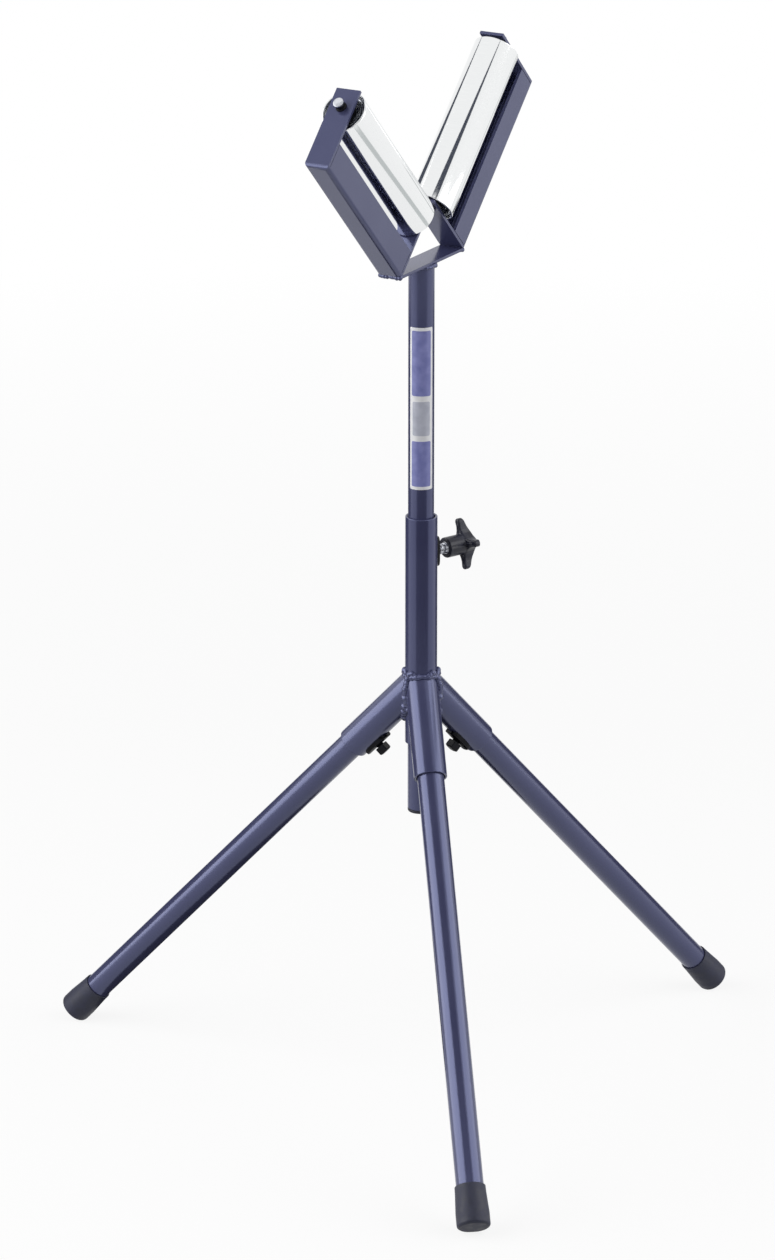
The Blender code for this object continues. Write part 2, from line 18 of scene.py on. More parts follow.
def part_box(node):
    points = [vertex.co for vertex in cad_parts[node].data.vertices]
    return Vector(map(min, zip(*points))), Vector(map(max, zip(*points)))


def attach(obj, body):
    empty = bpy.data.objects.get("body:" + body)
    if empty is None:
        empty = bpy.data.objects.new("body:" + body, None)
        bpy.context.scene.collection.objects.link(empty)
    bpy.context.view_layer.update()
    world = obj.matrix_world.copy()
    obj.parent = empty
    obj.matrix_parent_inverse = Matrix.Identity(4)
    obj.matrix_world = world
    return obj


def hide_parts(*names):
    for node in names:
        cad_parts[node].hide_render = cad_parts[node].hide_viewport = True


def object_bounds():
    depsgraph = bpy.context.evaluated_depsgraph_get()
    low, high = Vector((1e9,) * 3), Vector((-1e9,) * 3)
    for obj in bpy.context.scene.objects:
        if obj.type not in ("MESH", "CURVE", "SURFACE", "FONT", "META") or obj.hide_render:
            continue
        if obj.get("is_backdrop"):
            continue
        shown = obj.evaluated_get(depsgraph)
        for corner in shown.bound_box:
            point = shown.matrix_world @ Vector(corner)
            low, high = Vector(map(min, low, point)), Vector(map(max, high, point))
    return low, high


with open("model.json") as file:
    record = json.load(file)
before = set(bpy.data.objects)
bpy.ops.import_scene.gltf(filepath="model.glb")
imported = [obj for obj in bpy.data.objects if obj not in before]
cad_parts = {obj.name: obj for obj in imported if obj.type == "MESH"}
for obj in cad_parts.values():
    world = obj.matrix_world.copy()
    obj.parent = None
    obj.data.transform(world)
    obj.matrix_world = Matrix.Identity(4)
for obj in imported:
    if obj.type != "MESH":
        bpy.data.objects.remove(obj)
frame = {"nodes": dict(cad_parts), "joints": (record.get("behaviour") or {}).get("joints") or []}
cad_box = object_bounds()
joints = {joint["name"]: joint for joint in frame["joints"]}
MM = 0.001
LEGS = ("left", "right", "front")
ROLLERS = ("left", "right")
ENDS = ("lower", "upper")

# %% [markdown]
# ## Reading sizes from the frame
# A turned or tubular piece is known by its axis, by where it starts and ends along that axis, and
# by its least and greatest radius. One helper measures these on a node of the frame, so no size is
# written twice. Another one gives a matrix whose Z runs along an axis.

# %% Measure nodes and set up axes
Span = namedtuple("Span", "low high inner outer")


def measured(node, point, axis):
    """Where a node lies along and round an axis."""
    stations = []
    radii = []
    for vertex in frame["nodes"][node].data.vertices:
        offset = vertex.co - point
        stations.append(offset.dot(axis))
        radii.append((offset - stations[-1] * axis).length)
    return Span(min(stations), max(stations), min(radii), max(radii))


def centre_of(node):
    """The middle of a node's vertices, which lies on the axis of a plain tube."""
    vertices = frame["nodes"][node].data.vertices
    return sum((vertex.co for vertex in vertices), Vector()) / len(vertices)


def axes_at(point, axis, across):
    """A matrix at a point, with Z along the axis and X as near as can be to the second direction."""
    z = axis.normalized()
    x = (across - across.dot(z) * z).normalized()
    rows = Matrix((x, z.cross(x), z)).transposed()
    return Matrix.Translation(point) @ rows.to_4x4()


UP = Vector((0, 0, 1))
mast_axis_point = Vector(joints["mast_turn"]["pos_m"])
clamp_point = Vector(joints["clamp_knob_turn"]["pos_m"])
clamp_axis = Vector(joints["clamp_knob_turn"]["axis"])
hub = Vector((clamp_point.x, clamp_point.y, mast_axis_point.z))
leg_axes = {leg: Vector(joints[f"leg_{leg}_slide"]["axis"]) for leg in LEGS}
leg_slope = math.asin(-leg_axes["front"].z)
print("hub at", tuple(round(value, 4) for value in hub), "legs slope", round(math.degrees(leg_slope), 1))

# %% [markdown]
# ## The camera
# The photograph was taken from about five metres with a long lens, from the side of the left roller
# and from high enough to look down by nineteen degrees. The view's bearing, height and lens were
# worked out from the legs, the mast and the head, which all have known angles. The camera is
# therefore placed from the hub.

# %% Place the camera
CAMERA_BEARING = math.radians(-150.554)
CAMERA_DISTANCE = 5064.3 * MM
CAMERA_ABOVE_HUB = 1775.4 * MM
CAMERA_PITCH = math.radians(18.82)
CAMERA_HEADING = math.radians(29.813)
CAMERA_LENS_MM = 158.8
CAMERA_SENSOR_MM = 36.0


def bearing(angle):
    """A level direction at an angle from X."""
    return Vector((math.cos(angle), math.sin(angle), 0))


camera_data = bpy.data.cameras.new("camera")
camera_data.lens = CAMERA_LENS_MM
camera_data.sensor_width = CAMERA_SENSOR_MM
camera_data.clip_end = 100
camera = bpy.data.objects.new("camera", camera_data)
camera.location = hub + CAMERA_DISTANCE * bearing(CAMERA_BEARING) + CAMERA_ABOVE_HUB * UP
camera.rotation_euler = (math.pi / 2 - CAMERA_PITCH, 0, CAMERA_HEADING - math.pi / 2)
bpy.context.scene.collection.objects.link(camera)
bpy.context.scene.camera = camera
bpy.context.scene.view_settings.view_transform = "Standard"
print("camera at", tuple(round(value, 3) for value in camera.location))

# %% [markdown]
# ## Nodes in one line
# Shaders and geometry trees are both built from nodes. One small function adds a node, sets its
# sockets or its properties by name, and links what feeds it. Colours are written as the hex values
# that a paint chart or a colour picker gives, and one function turns them to linear light.

# %% Node and colour helpers
def add_node(tree, kind, settings=None, links=None):
    """Add one node with its settings and its incoming links."""
    node = tree.nodes.new(kind)
    for key, value in (settings or {}).items():
        if isinstance(key, int) or key in node.inputs:
            node.inputs[key].default_value = value
        else:
            setattr(node, key, value)
    for key, source in (links or {}).items():
        tree.links.new(source, node.inputs[key])
    return node


def linear(hex_colour):
    """An sRGB hex colour as linear red, green, blue and alpha."""
    channels = [int(hex_colour[i : i + 2], 16) / 255 for i in (1, 3, 5)]
    return [c / 12.92 if c <= 0.04045 else ((c + 0.055) / 1.055) ** 2.4 for c in channels] + [1]


def new_finish(name, metallic, roughness, **sockets):
    """A material with its Principled shader set, returned with its tree and shader."""
    material = bpy.data.materials.new(name)
    material.use_nodes = True
    shader = material.node_tree.nodes["Principled BSDF"]
    shader.inputs["Metallic"].default_value = metallic
    shader.inputs["Roughness"].default_value = roughness
    for socket, value in sockets.items():
        shader.inputs[socket.replace("_", " ").title().replace("Ior", "IOR")].default_value = value
    return material, material.node_tree, shader


def grain(tree, size, stretch=(1, 1, 1), detail=2.0):
    """Noise on object coordinates whose lumps are about that size."""
    place = add_node(tree, "ShaderNodeTexCoord")
    mapping = add_node(tree, "ShaderNodeMapping", {"Scale": stretch}, {"Vector": place.outputs["Object"]})
    settings = {"Scale": 1 / size, "Detail": detail}
    return add_node(tree, "ShaderNodeTexNoise", settings, {"Vector": mapping.outputs["Vector"]})


def blended(tree, factor, first, second):
    """Mix two hex colours by a factor from 0 to 1."""
    settings = {"data_type": "RGBA", 6: linear(first), 7: linear(second)}
    return add_node(tree, "ShaderNodeMix", settings, {0: factor}).outputs[2]


NOISE_BAND = (0.3, 0.7)


def spread(tree, factor, low, high):
    """Stretch a noise's middle band over a range of values."""
    settings = {"From Min": NOISE_BAND[0], "From Max": NOISE_BAND[1], "To Min": low, "To Max": high}
    return add_node(tree, "ShaderNodeMapRange", settings, {"Value": factor}).outputs["Result"]


def patchy(tree, shader, size, first, second):
    """Colour a surface in slow patches between two hex colours, and return the patches."""
    patches = spread(tree, grain(tree, size).outputs["Fac"], 0, 1)
    tree.links.new(blended(tree, patches, first, second), shader.inputs["Base Color"])
    return patches


def bumped(tree, shader, height, distance, strength):
    """Let a height field tilt the shader's normal."""
    settings = {"Distance": distance, "Strength": strength}
    bump = add_node(tree, "ShaderNodeBump", settings, {"Height": height})
    tree.links.new(bump.outputs["Normal"], shader.inputs["Normal"])


# %% [markdown]
# ## Powder coated steel
# The tubes and brackets are welded mild steel, sprayed with dry paint powder and baked. The film
# flows into a glossy skin with slight dimples, called orange peel. A pearl pigment in it tints what
# the skin mirrors, so the dark violet blue turns to a lighter lilac where it faces something bright.
# The dimples are a millimetre or two wide and show only close up; slow changes in film thickness
# shift the colour a little over a few centimetres.

# %% Powder coat
PEEL_SIZE = 1.6 * MM
PEEL_DEPTH = 0.02 * MM
PEARL = "#C2CAF8"
FILM_PATCH = 45 * MM


def powder_coat(name):
    pearl = {"specular_ior_level": 1.0, "specular_tint": linear(PEARL)}
    material, tree, shader = new_finish(name, 0.0, 0.2, ior=1.5, **pearl)
    patchy(tree, shader, FILM_PATCH, "#3E405F", "#444664")
    peel = grain(tree, PEEL_SIZE, detail=1.0).outputs["Fac"]
    tree.links.new(spread(tree, peel, 0.17, 0.23), shader.inputs["Roughness"])
    bumped(tree, shader, peel, PEEL_DEPTH, 0.2)
    return material


paint = powder_coat("powder_coat")
weld_paint = powder_coat("powder_coat_on_welds")

# %% [markdown]
# ## Plated and blackened steel
# The roller shells are ground, polished and hard chromed: a metal that mirrors the studio. Grinding
# leaves rings too fine to see, drawn here coarser so that they just soften the mirror. The axles,
# nuts and the clamp screw are zinc plated, a duller grey metal with cloudy patches. The pressed
# hubs and the bearing's rings are plain ground steel, given a grey darker than the zinc as painted
# shade for the hollow ends of the rollers where they sit. The square headed screws and the pads are
# blackened by an oxide bath: nearly black, with small highlights. The axles' threads get the same
# near black as painted shade in their grooves.

# %% Metals
GRIND_LINE = 0.8 * MM
CLOUD_SIZE = 6 * MM


def hard_chrome():
    material, tree, shader = new_finish("hard_chrome", 1.0, 0.07)
    lines = grain(tree, GRIND_LINE, stretch=(1, 0.02, 1), detail=1.0).outputs["Fac"]
    tree.links.new(blended(tree, lines, "#E9EBEC", "#F3F4F4"), shader.inputs["Base Color"])
    tree.links.new(spread(tree, lines, 0.05, 0.09), shader.inputs["Roughness"])
    return material


def zinc_plate():
    material, tree, shader = new_finish("bright_zinc_plate", 1.0, 0.3)
    clouds = patchy(tree, shader, CLOUD_SIZE, "#A9ACB4", "#C9CBD0")
    tree.links.new(spread(tree, clouds, 0.24, 0.36), shader.inputs["Roughness"])
    bumped(tree, shader, grain(tree, CLOUD_SIZE / 4).outputs["Fac"], PEEL_DEPTH, 0.15)
    return material


def bearing_steel():
    """Ground steel: smooth, and darker than the zinc as painted shade for the hollow ends of the rollers."""
    material, tree, shader = new_finish("ground_bearing_steel", 1.0, 0.22)
    patchy(tree, shader, CLOUD_SIZE, "#83868C", "#9A9DA3")
    return material


# Near black oxide on the square headed screws and the pads; on the axles' threads the same near black is
# painted shade in their grooves.
def black_oxide_and_shade():
    material, tree, shader = new_finish("black_oxide_and_shade", 0.0, 0.32, specular_ior_level=0.12)
    clouds = patchy(tree, shader, CLOUD_SIZE, "#0A0B10", "#14151C")
    tree.links.new(spread(tree, clouds, 0.26, 0.4), shader.inputs["Roughness"])
    bumped(tree, shader, grain(tree, CLOUD_SIZE / 4).outputs["Fac"], PEEL_DEPTH, 0.2)
    return material


chrome = hard_chrome()
zinc = zinc_plate()
steel = bearing_steel()
oxide_and_shade = black_oxide_and_shade()

# %% [markdown]
# ## Rubber and plastic
# The feet are moulded in black rubber, whose matt skin copies the spark eroded mould. The knob and
# the mast's end plug are glass filled nylon: harder, smoother and a little shiny. The mast carries a
# printed vinyl film, white with violet and grey panels.

# %% Rubber, nylon and vinyl
SPARK_GRAIN = 0.7 * MM
FLOW_MARK = 8 * MM


def moulded(name, dark, light, roughness, depth):
    """A moulded finish: a fine grain from the mould and slow flow marks."""
    material, tree, shader = new_finish(name, 0.0, roughness, ior=1.5, specular_ior_level=0.35)
    marks = patchy(tree, shader, FLOW_MARK, dark, light)
    tree.links.new(spread(tree, marks, roughness - 0.05, roughness + 0.05), shader.inputs["Roughness"])
    bumped(tree, shader, grain(tree, SPARK_GRAIN).outputs["Fac"], depth, 0.6)
    return material


def vinyl(name, dark, light):
    """A glossy printed film, faintly uneven in tone."""
    material, tree, shader = new_finish(name, 0.0, 0.28, ior=1.5)
    patchy(tree, shader, FLOW_MARK, dark, light)
    return material


rubber = moulded("moulded_rubber", "#2B2D3C", "#343648", 0.55, 0.05 * MM)
nylon = moulded("glass_filled_nylon", "#1C1D29", "#262838", 0.34, 0.02 * MM)
seal_rubber = moulded("bearing_seal_rubber", "#14151B", "#1D1E26", 0.5, 0.02 * MM)
white_vinyl = vinyl("white_vinyl", "#E4E5EA", "#F2F2F4")
violet_vinyl = vinyl("violet_vinyl", "#7579B4", "#8A8EC6")
grey_vinyl = vinyl("grey_vinyl", "#B4B7C6", "#C6C9D6")

# %% [markdown]
# ## Floor, backdrop and light
# The stand is photographed on white. The sky and the far floor are plain white where the camera or
# a reflection sees them, and near the stand the floor keeps a faint shadow. Light that falls on matt
# surfaces comes from a weaker sky and from two soft boxes three metres wide, left and right of the
# camera: with nothing bright straight ahead, each tube gets a dark middle between two lighter
# sides, which is what makes it look round.

# %% Floor and sky
FLOOR_HALF_WIDTH = 30.0
FLOOR_SHADE_SHARE = 0.14
FLOOR_NEAR = 1.0
FLOOR_FAR = 3.0
SKY_STRENGTH = 0.3


def seen_rays(tree):
    """1 for rays from the camera, from a mirror or through glass, and 0 for light on matt surfaces."""
    rays = add_node(tree, "ShaderNodeLightPath")
    seen = rays.outputs["Is Camera Ray"]
    for other in ("Is Glossy Ray", "Is Transmission Ray"):
        links = {0: seen, 1: rays.outputs[other]}
        seen = add_node(tree, "ShaderNodeMath", {"operation": "MAXIMUM"}, links).outputs[0]
    return seen


def white_floor():
    """Pale floor: where it is seen it mostly glows, so shadows stay faint, and far off it is white."""
    material = bpy.data.materials.new("studio_floor")
    material.use_nodes = True
    tree = material.node_tree
    tree.nodes.remove(tree.nodes["Principled BSDF"])
    seen = seen_rays(tree)
    matt = add_node(tree, "ShaderNodeBsdfDiffuse", links={"Color": blended(tree, seen, "#8C8C8C", "#F4F4F4")})
    glow = add_node(tree, "ShaderNodeEmission", {"Color": linear("#FFFFFF")})
    place = add_node(tree, "ShaderNodeTexCoord")
    links = {0: place.outputs["Object"]}
    reach = add_node(tree, "ShaderNodeVectorMath", {"operation": "LENGTH"}, links)
    settings = {"From Min": FLOOR_NEAR, "From Max": FLOOR_FAR, "To Min": FLOOR_SHADE_SHARE, "To Max": 0}
    shade = add_node(tree, "ShaderNodeMapRange", settings, {"Value": reach.outputs["Value"]})
    links = {"Value": seen, "To Max": shade.outputs[0]}
    share = add_node(tree, "ShaderNodeMapRange", {"To Min": 1.0}, links)
    links = {0: share.outputs[0], 1: glow.outputs[0], 2: matt.outputs[0]}
    mixed = add_node(tree, "ShaderNodeMixShader", links=links)
    tree.links.new(mixed.outputs[0], tree.nodes["Material Output"].inputs["Surface"])
    return material


def studio_sky():
    """White where it is seen, weaker where it lights matt surfaces."""
    world = bpy.data.worlds.new("studio_sky")
    bpy.context.scene.world = world
    world.use_nodes = True
    tree = world.node_tree
    settings = {"To Min": SKY_STRENGTH, "To Max": 1.0}
    strength = add_node(tree, "ShaderNodeMapRange", settings, {"Value": seen_rays(tree)})
    tree.links.new(strength.outputs[0], tree.nodes["Background"].inputs["Strength"])
    tree.nodes["Background"].inputs["Color"].default_value = linear("#FFFFFF")


floor_mesh = bpy.data.meshes.new("studio_floor")
corners = [(x * FLOOR_HALF_WIDTH, y * FLOOR_HALF_WIDTH, 0) for x, y in ((-1, -1), (1, -1), (1, 1), (-1, 1))]
floor_mesh.from_pydata(corners, [], [(0, 1, 2, 3)])
floor_mesh.materials.append(white_floor())
floor = bpy.data.objects.new("studio_floor", floor_mesh)
bpy.context.scene.collection.objects.link(floor)
floor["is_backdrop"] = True
studio_sky()

# %% Soft boxes
LAMP_RANGE = 2.6
LAMP_HEIGHT = 1.6
LAMP_SIDE = 3.0
LAMP_ANGLE = math.radians(80)
LEFT_LAMP_WATTS = 84
RIGHT_LAMP_WATTS = 62


def soft_box(name, angle_from_camera, power):
    """A large lamp on the camera's left (positive angle) or right, aimed at the hub."""
    data = bpy.data.lights.new(name, "AREA")
    data.size = LAMP_SIDE
    data.energy = power
    lamp = bpy.data.objects.new(name, data)
    away = bearing(CAMERA_BEARING - angle_from_camera)
    lamp.location = hub + LAMP_RANGE * away
    lamp.location.z = LAMP_HEIGHT
    lamp.rotation_euler = (hub - lamp.location).to_track_quat("-Z", "Y").to_euler()
    bpy.context.scene.collection.objects.link(lamp)


soft_box("soft_box_left", LAMP_ANGLE, LEFT_LAMP_WATTS)
soft_box("soft_box_right", -LAMP_ANGLE, RIGHT_LAMP_WATTS)

# %% [markdown]
# ## Black cards
# On a white set a shiny edge melts into the background. Photographers stand black cards just out
# of view, so that shiny things mirror them and get dark lines. Here low curved cards stand in
# front of the tubes and behind them, a small mat lies on the floor, and a strip follows the front
# leg. They are there for mirror rays only: the camera doesn't see them, and they cast no shadow.

# %% Black cards
CARD_RANGE = 1.1
CARD_HEIGHT = 0.5
CARD_STEPS = 12
MAT_OFFSET = Vector((0.08, 0.22, 0))
MAT_RADIUS = 0.18
MAT_LIFT = 1 * MM
MAT_SIDES = 12
card_arcs = {"card_front": (-50, 38), "card_back_left": (104, 155), "card_back_right": (-155, -120)}


def black_card(name, points, faces, material=None):
    """A card that only reflections show."""
    mesh = bpy.data.meshes.new(name)
    mesh.from_pydata(points, [], faces)
    mesh.materials.append(material or velvet)
    card = bpy.data.objects.new(name, mesh)
    bpy.context.scene.collection.objects.link(card)
    for kind in ("camera", "diffuse", "transmission", "shadow"):
        setattr(card, f"visible_{kind}", False)
    card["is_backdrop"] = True


def curved_card(name, first, last):
    """A low wall on a circle round the hub, between two angles left of the camera."""
    points = []
    for step in range(CARD_STEPS + 1):
        angle = math.radians(first + (last - first) * step / CARD_STEPS)
        foot = hub + CARD_RANGE * bearing(CAMERA_BEARING - angle)
        points += [(foot.x, foot.y, 0), (foot.x, foot.y, CARD_HEIGHT)]
    black_card(name, points, [(2 * i, 2 * i + 2, 2 * i + 3, 2 * i + 1) for i in range(CARD_STEPS)])


velvet = bpy.data.materials.new("black_velvet")
velvet.use_nodes = True
velvet.node_tree.nodes["Principled BSDF"].inputs["Base Color"].default_value = linear("#060606")
velvet.node_tree.nodes["Principled BSDF"].inputs["Roughness"].default_value = 1.0
for name, arc in card_arcs.items():
    curved_card(name, *arc)
turns = [2 * math.pi * step / MAT_SIDES for step in range(MAT_SIDES)]
mat_points = [hub + MAT_OFFSET + MAT_RADIUS * bearing(turn) for turn in turns]
black_card("card_on_floor", [(spot.x, spot.y, MAT_LIFT) for spot in mat_points], [tuple(range(MAT_SIDES))])


# %% A strip that follows a tube
STRIP_STEPS = 16
FRONT_TUBE_RADIUS = 16 * MM
FRONT_CARD_AWAY = 2.0
FRONT_CARD_UPPER = (0.02, 0.32, 0.60)
FRONT_CARD_LOWER = (0.55, 0.41, 0.62)


def mirrored_spot(point, axis, radius, station, share, distance):
    """A place that the camera sees mirrored in a tube, at a share of its width from the left."""
    centre = point + station * axis
    sight = (centre - camera.location).normalized()
    across = axis.cross(sight).normalized()
    if across.dot(sight.cross(UP)) < 0:
        across.negate()
    facing = (sight.dot(axis) * axis - sight).normalized()
    tilt = math.asin(2 * share - 1)
    normal = math.sin(tilt) * across + math.cos(tilt) * facing
    mirrored = sight - 2 * sight.dot(normal) * normal
    return centre + radius * normal + distance * mirrored


def mirrored_strip(name, tube, upper, lower, distance, material=None):
    """A card that a tube mirrors as a band between two stations, each given with its two edges.

    The tube is a point, an axis and a radius; an edge is a share of the tube's width from the left.
    """
    spots = []
    for step in range(STRIP_STEPS + 1):
        share = step / STRIP_STEPS
        station, left, right = [first + (last - first) * share for first, last in zip(upper, lower)]
        spots += [mirrored_spot(*tube, station, edge, distance) for edge in (left, right)]
    faces = [(2 * i, 2 * i + 1, 2 * i + 3, 2 * i + 2) for i in range(STRIP_STEPS)]
    black_card(name, spots, faces, material)


front_leg = (hub, leg_axes["front"], FRONT_TUBE_RADIUS)
mirrored_strip("card_over_front_leg", front_leg, FRONT_CARD_UPPER, FRONT_CARD_LOWER, FRONT_CARD_AWAY)

# %% [markdown]
# ## Turning and skinning
# Most of the stand is round, so most pieces are a profile turned about an axis. Real edges are
# never sharp, and it is their small radii that catch the light, so a helper rounds the corners of
# a profile before it is turned.

# %% Shape helpers
EDGE_SHARE = 0.45
NEARLY_STRAIGHT = math.radians(88)
# The angles at which a quarter turn of a small rounded edge is drawn.
quarter = [math.pi / 2 * step / 5 for step in range(6)]


def softened(corners, radius, steps=4, closed=True):
    """Round the corners of an outline; a third number in a corner is its own radius."""
    rounded = []
    last = len(corners) - 1
    for index, corner in enumerate(corners):
        point = Vector(corner[:2])
        own_radius = corner[2] if len(corner) > 2 else radius
        back = Vector(corners[index - 1][:2]) - point
        ahead = Vector(corners[(index + 1) % len(corners)][:2]) - point
        half_angle = back.angle(ahead) / 2
        if (not closed and index in (0, last)) or half_angle > NEARLY_STRAIGHT or own_radius == 0:
            rounded.append(point)
            continue
        reach = min(own_radius / math.tan(half_angle), EDGE_SHARE * back.length, EDGE_SHARE * ahead.length)
        inward = (back.normalized() + ahead.normalized()).normalized()
        middle = point + inward * reach / math.cos(half_angle)
        start = point + back.normalized() * reach - middle
        end = point + ahead.normalized() * reach - middle
        first = math.atan2(start.y, start.x)
        sweep = (math.atan2(end.y, end.x) - first + math.pi) % (2 * math.pi) - math.pi
        for step in range(steps + 1):
            angle = first + sweep * step / steps
            rounded.append(middle + start.length * Vector((math.cos(angle), math.sin(angle))))
    return rounded


def closed_mesh(shape, matrix=None):
    """Turn a bmesh into a mesh with its faces outwards."""
    if matrix is not None:
        shape.transform(matrix)
    bmesh.ops.recalc_face_normals(shape, faces=shape.faces)
    mesh = bpy.data.meshes.new("shape")
    shape.to_mesh(mesh)
    shape.free()
    return mesh


def revolved(profile, matrix, sides=96, closed=True):
    """Turn (radius, station) points about Z; points on the axis close the shape in a pole."""
    shape = bmesh.new()
    rings = []
    for radius, station in profile:
        if radius == 0:
            rings.append([shape.verts.new((0, 0, station))] * sides)
            continue
        angles = [2 * math.pi * side / sides for side in range(sides)]
        rings.append([shape.verts.new((radius * math.cos(a), radius * math.sin(a), station)) for a in angles])
    following = rings[1:] + rings[:1] if closed else rings[1:]
    for first, second in zip(rings, following):
        for side in range(sides):
            after = (side + 1) % sides
            corners = dict.fromkeys((first[side], first[after], second[after], second[side]))
            if len(corners) > 2:
                shape.faces.new(corners)
    return closed_mesh(shape, matrix)


def turned(corners, matrix, radius, sides=96, closed=True):
    """A turned piece with softened edges."""
    return revolved(softened(corners, radius, closed=closed), matrix, sides, closed)


def lofted(rings, matrix=None):
    """Skin rings of equal length and cap both ends."""
    shape = bmesh.new()
    loops = [[shape.verts.new(point) for point in ring] for ring in rings]
    for lower, upper in zip(loops, loops[1:]):
        for index in range(len(lower)):
            after = (index + 1) % len(lower)
            shape.faces.new((lower[index], lower[after], upper[after], upper[index]))
    shape.faces.new(loops[0])
    shape.faces.new(loops[-1])
    return closed_mesh(shape, matrix)


# %% [markdown]
# ## Modifiers, applied
# Booleans and bevels are live modifiers in Blender. A kept piece is a plain mesh instead, so a
# helper stacks the modifiers on a passing object, lets Blender work them out and reads the result.

# %% Apply modifiers to a mesh
def passing_object(mesh):
    """An object that exists only while a mesh is worked on."""
    thing = bpy.data.objects.new("passing", mesh)
    bpy.context.scene.collection.objects.link(thing)
    return thing


def worked_out(thing, *helpers):
    """The plain mesh of an object's live modifiers; the object and its helpers are removed."""
    evaluated = thing.evaluated_get(bpy.context.evaluated_depsgraph_get())
    mesh = bpy.data.meshes.new_from_object(evaluated)
    for used in (thing, *helpers):
        bpy.data.objects.remove(used)
    return mesh


def combined(mesh, *steps):
    """Apply Boolean steps, each an operation and the mesh it uses."""
    thing = passing_object(mesh)
    helpers = []
    for operation, other in steps:
        helpers.append(passing_object(other))
        modifier = thing.modifiers.new(operation, "BOOLEAN")
        modifier.operation = operation
        modifier.solver = "EXACT"
        modifier.object = helpers[-1]
    return worked_out(thing, *helpers)


def melt(thing, voxel, passes=3):
    """Join whatever overlaps into one skin and smooth it."""
    remesh = thing.modifiers.new("remesh", "REMESH")
    remesh.mode = "VOXEL"
    remesh.voxel_size = voxel
    smooth = thing.modifiers.new("smooth", "SMOOTH")
    smooth.iterations = passes


BEVEL_ANGLE = math.radians(40)


def edges_bevelled(mesh, width):
    """Take the sharpness off every edge past an angle."""
    thing = passing_object(mesh)
    modifier = thing.modifiers.new("bevel", "BEVEL")
    modifier.width = width
    modifier.segments = 2
    modifier.limit_method = "ANGLE"
    modifier.angle_limit = BEVEL_ANGLE
    return worked_out(thing)


# %% [markdown]
# ## Shading and keeping a piece
# Smooth shading averages the faces round each corner. Beside a rounded lip that average leans, and a
# long straight wall between two lips then mirrors like a barrel. Weighted normals let the largest
# face decide, so straight walls and flat sheets mirror truly and only the small radii bend the
# light. A finished piece sits at the origin with its place in its mesh.

# %% Keep a piece
SHARP_ANGLE = math.radians(32)


def truly_shaded(mesh):
    """Smooth shading in which large faces stay straight beside small rounded ones."""
    mesh.shade_smooth()
    mesh.set_sharp_from_angle(angle=SHARP_ANGLE)
    thing = passing_object(mesh)
    modifier = thing.modifiers.new("weighted", "WEIGHTED_NORMAL")
    modifier.mode = "FACE_AREA"
    modifier.keep_sharp = True
    return worked_out(thing)


def keep(name, mesh, body, finish, *nodes):
    """Keep a finished mesh as a piece on its body, standing for those nodes."""
    mesh = truly_shaded(mesh)
    mesh.name = name
    mesh.materials.clear()
    mesh.materials.append(finish)
    piece = bpy.data.objects.new(name, mesh)
    bpy.context.scene.collection.objects.link(piece)
    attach(piece, body)
    if nodes:
        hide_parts(*nodes)


# %% [markdown]
# ## Geometry Nodes for threads and weld beads
# A thread is one ridge wound round a rod, and a weld is a row of small frozen puddles along a
# seam. Both repeat by a rule, so each is a node tree with its sizes as inputs. The thread sweeps a
# small diamond along a spiral. The bead sets flattened balls along a line and shakes their size and
# place a little, from a fixed seed, as a welder's hand does.

# %% Geometry trees
def geometry_tree(name, inputs):
    """A tree with named inputs, returned with its input node and a function that ends it."""
    tree = bpy.data.node_groups.new(name, "GeometryNodeTree")
    tree.interface.new_socket("Geometry", in_out="INPUT", socket_type="NodeSocketGeometry")
    for title, kind in inputs:
        tree.interface.new_socket(title, in_out="INPUT", socket_type=kind)
    tree.interface.new_socket("Geometry", in_out="OUTPUT", socket_type="NodeSocketGeometry")
    entry = tree.nodes.new("NodeGroupInput")

    def end(geometry):
        plain = add_node(tree, "GeometryNodeRealizeInstances", links={0: geometry})
        links = {0: plain.outputs[0], "Material": entry.outputs["Material"]}
        finished = add_node(tree, "GeometryNodeSetMaterial", links=links)
        add_node(tree, "NodeGroupOutput", links={0: finished.outputs[0]})

    return tree, entry.outputs, end


def thread_tree():
    """A ridge wound round Z, joined to the rod that comes in."""
    inputs = [(title, "NodeSocketFloat") for title in ("Radius", "Pitch", "Turns", "Depth", "Start")]
    tree, given, end = geometry_tree("screw_thread", inputs + [("Material", "NodeSocketMaterial")])
    multiply = {"operation": "MULTIPLY"}
    height = add_node(tree, "ShaderNodeMath", multiply, {0: given["Pitch"], 1: given["Turns"]})
    links = {
        "Rotations": given["Turns"],
        "Start Radius": given["Radius"],
        "End Radius": given["Radius"],
        "Height": height.outputs[0],
    }
    spiral = add_node(tree, "GeometryNodeCurveSpiral", {"Resolution": 24}, links)
    links = {"Radius": given["Depth"]}
    diamond = add_node(tree, "GeometryNodeCurvePrimitiveCircle", {"Resolution": 4}, links)
    links = {0: spiral.outputs[0], 1: diamond.outputs[0]}
    ridge = add_node(tree, "GeometryNodeCurveToMesh", {"Fill Caps": True}, links)
    offset = add_node(tree, "ShaderNodeCombineXYZ", links={"Z": given["Start"]})
    links = {0: ridge.outputs[0], "Translation": offset.outputs[0]}
    moved = add_node(tree, "GeometryNodeTransform", links=links)
    joined = add_node(tree, "GeometryNodeJoinGeometry", links={0: given["Geometry"]})
    tree.links.new(moved.outputs[0], joined.inputs[0])
    end(joined.outputs[0])
    return tree


BEAD_SWAY = 0.12
BEAD_SCALES = (0.8, 1.2)
BEAD_FLATNESS = 0.7


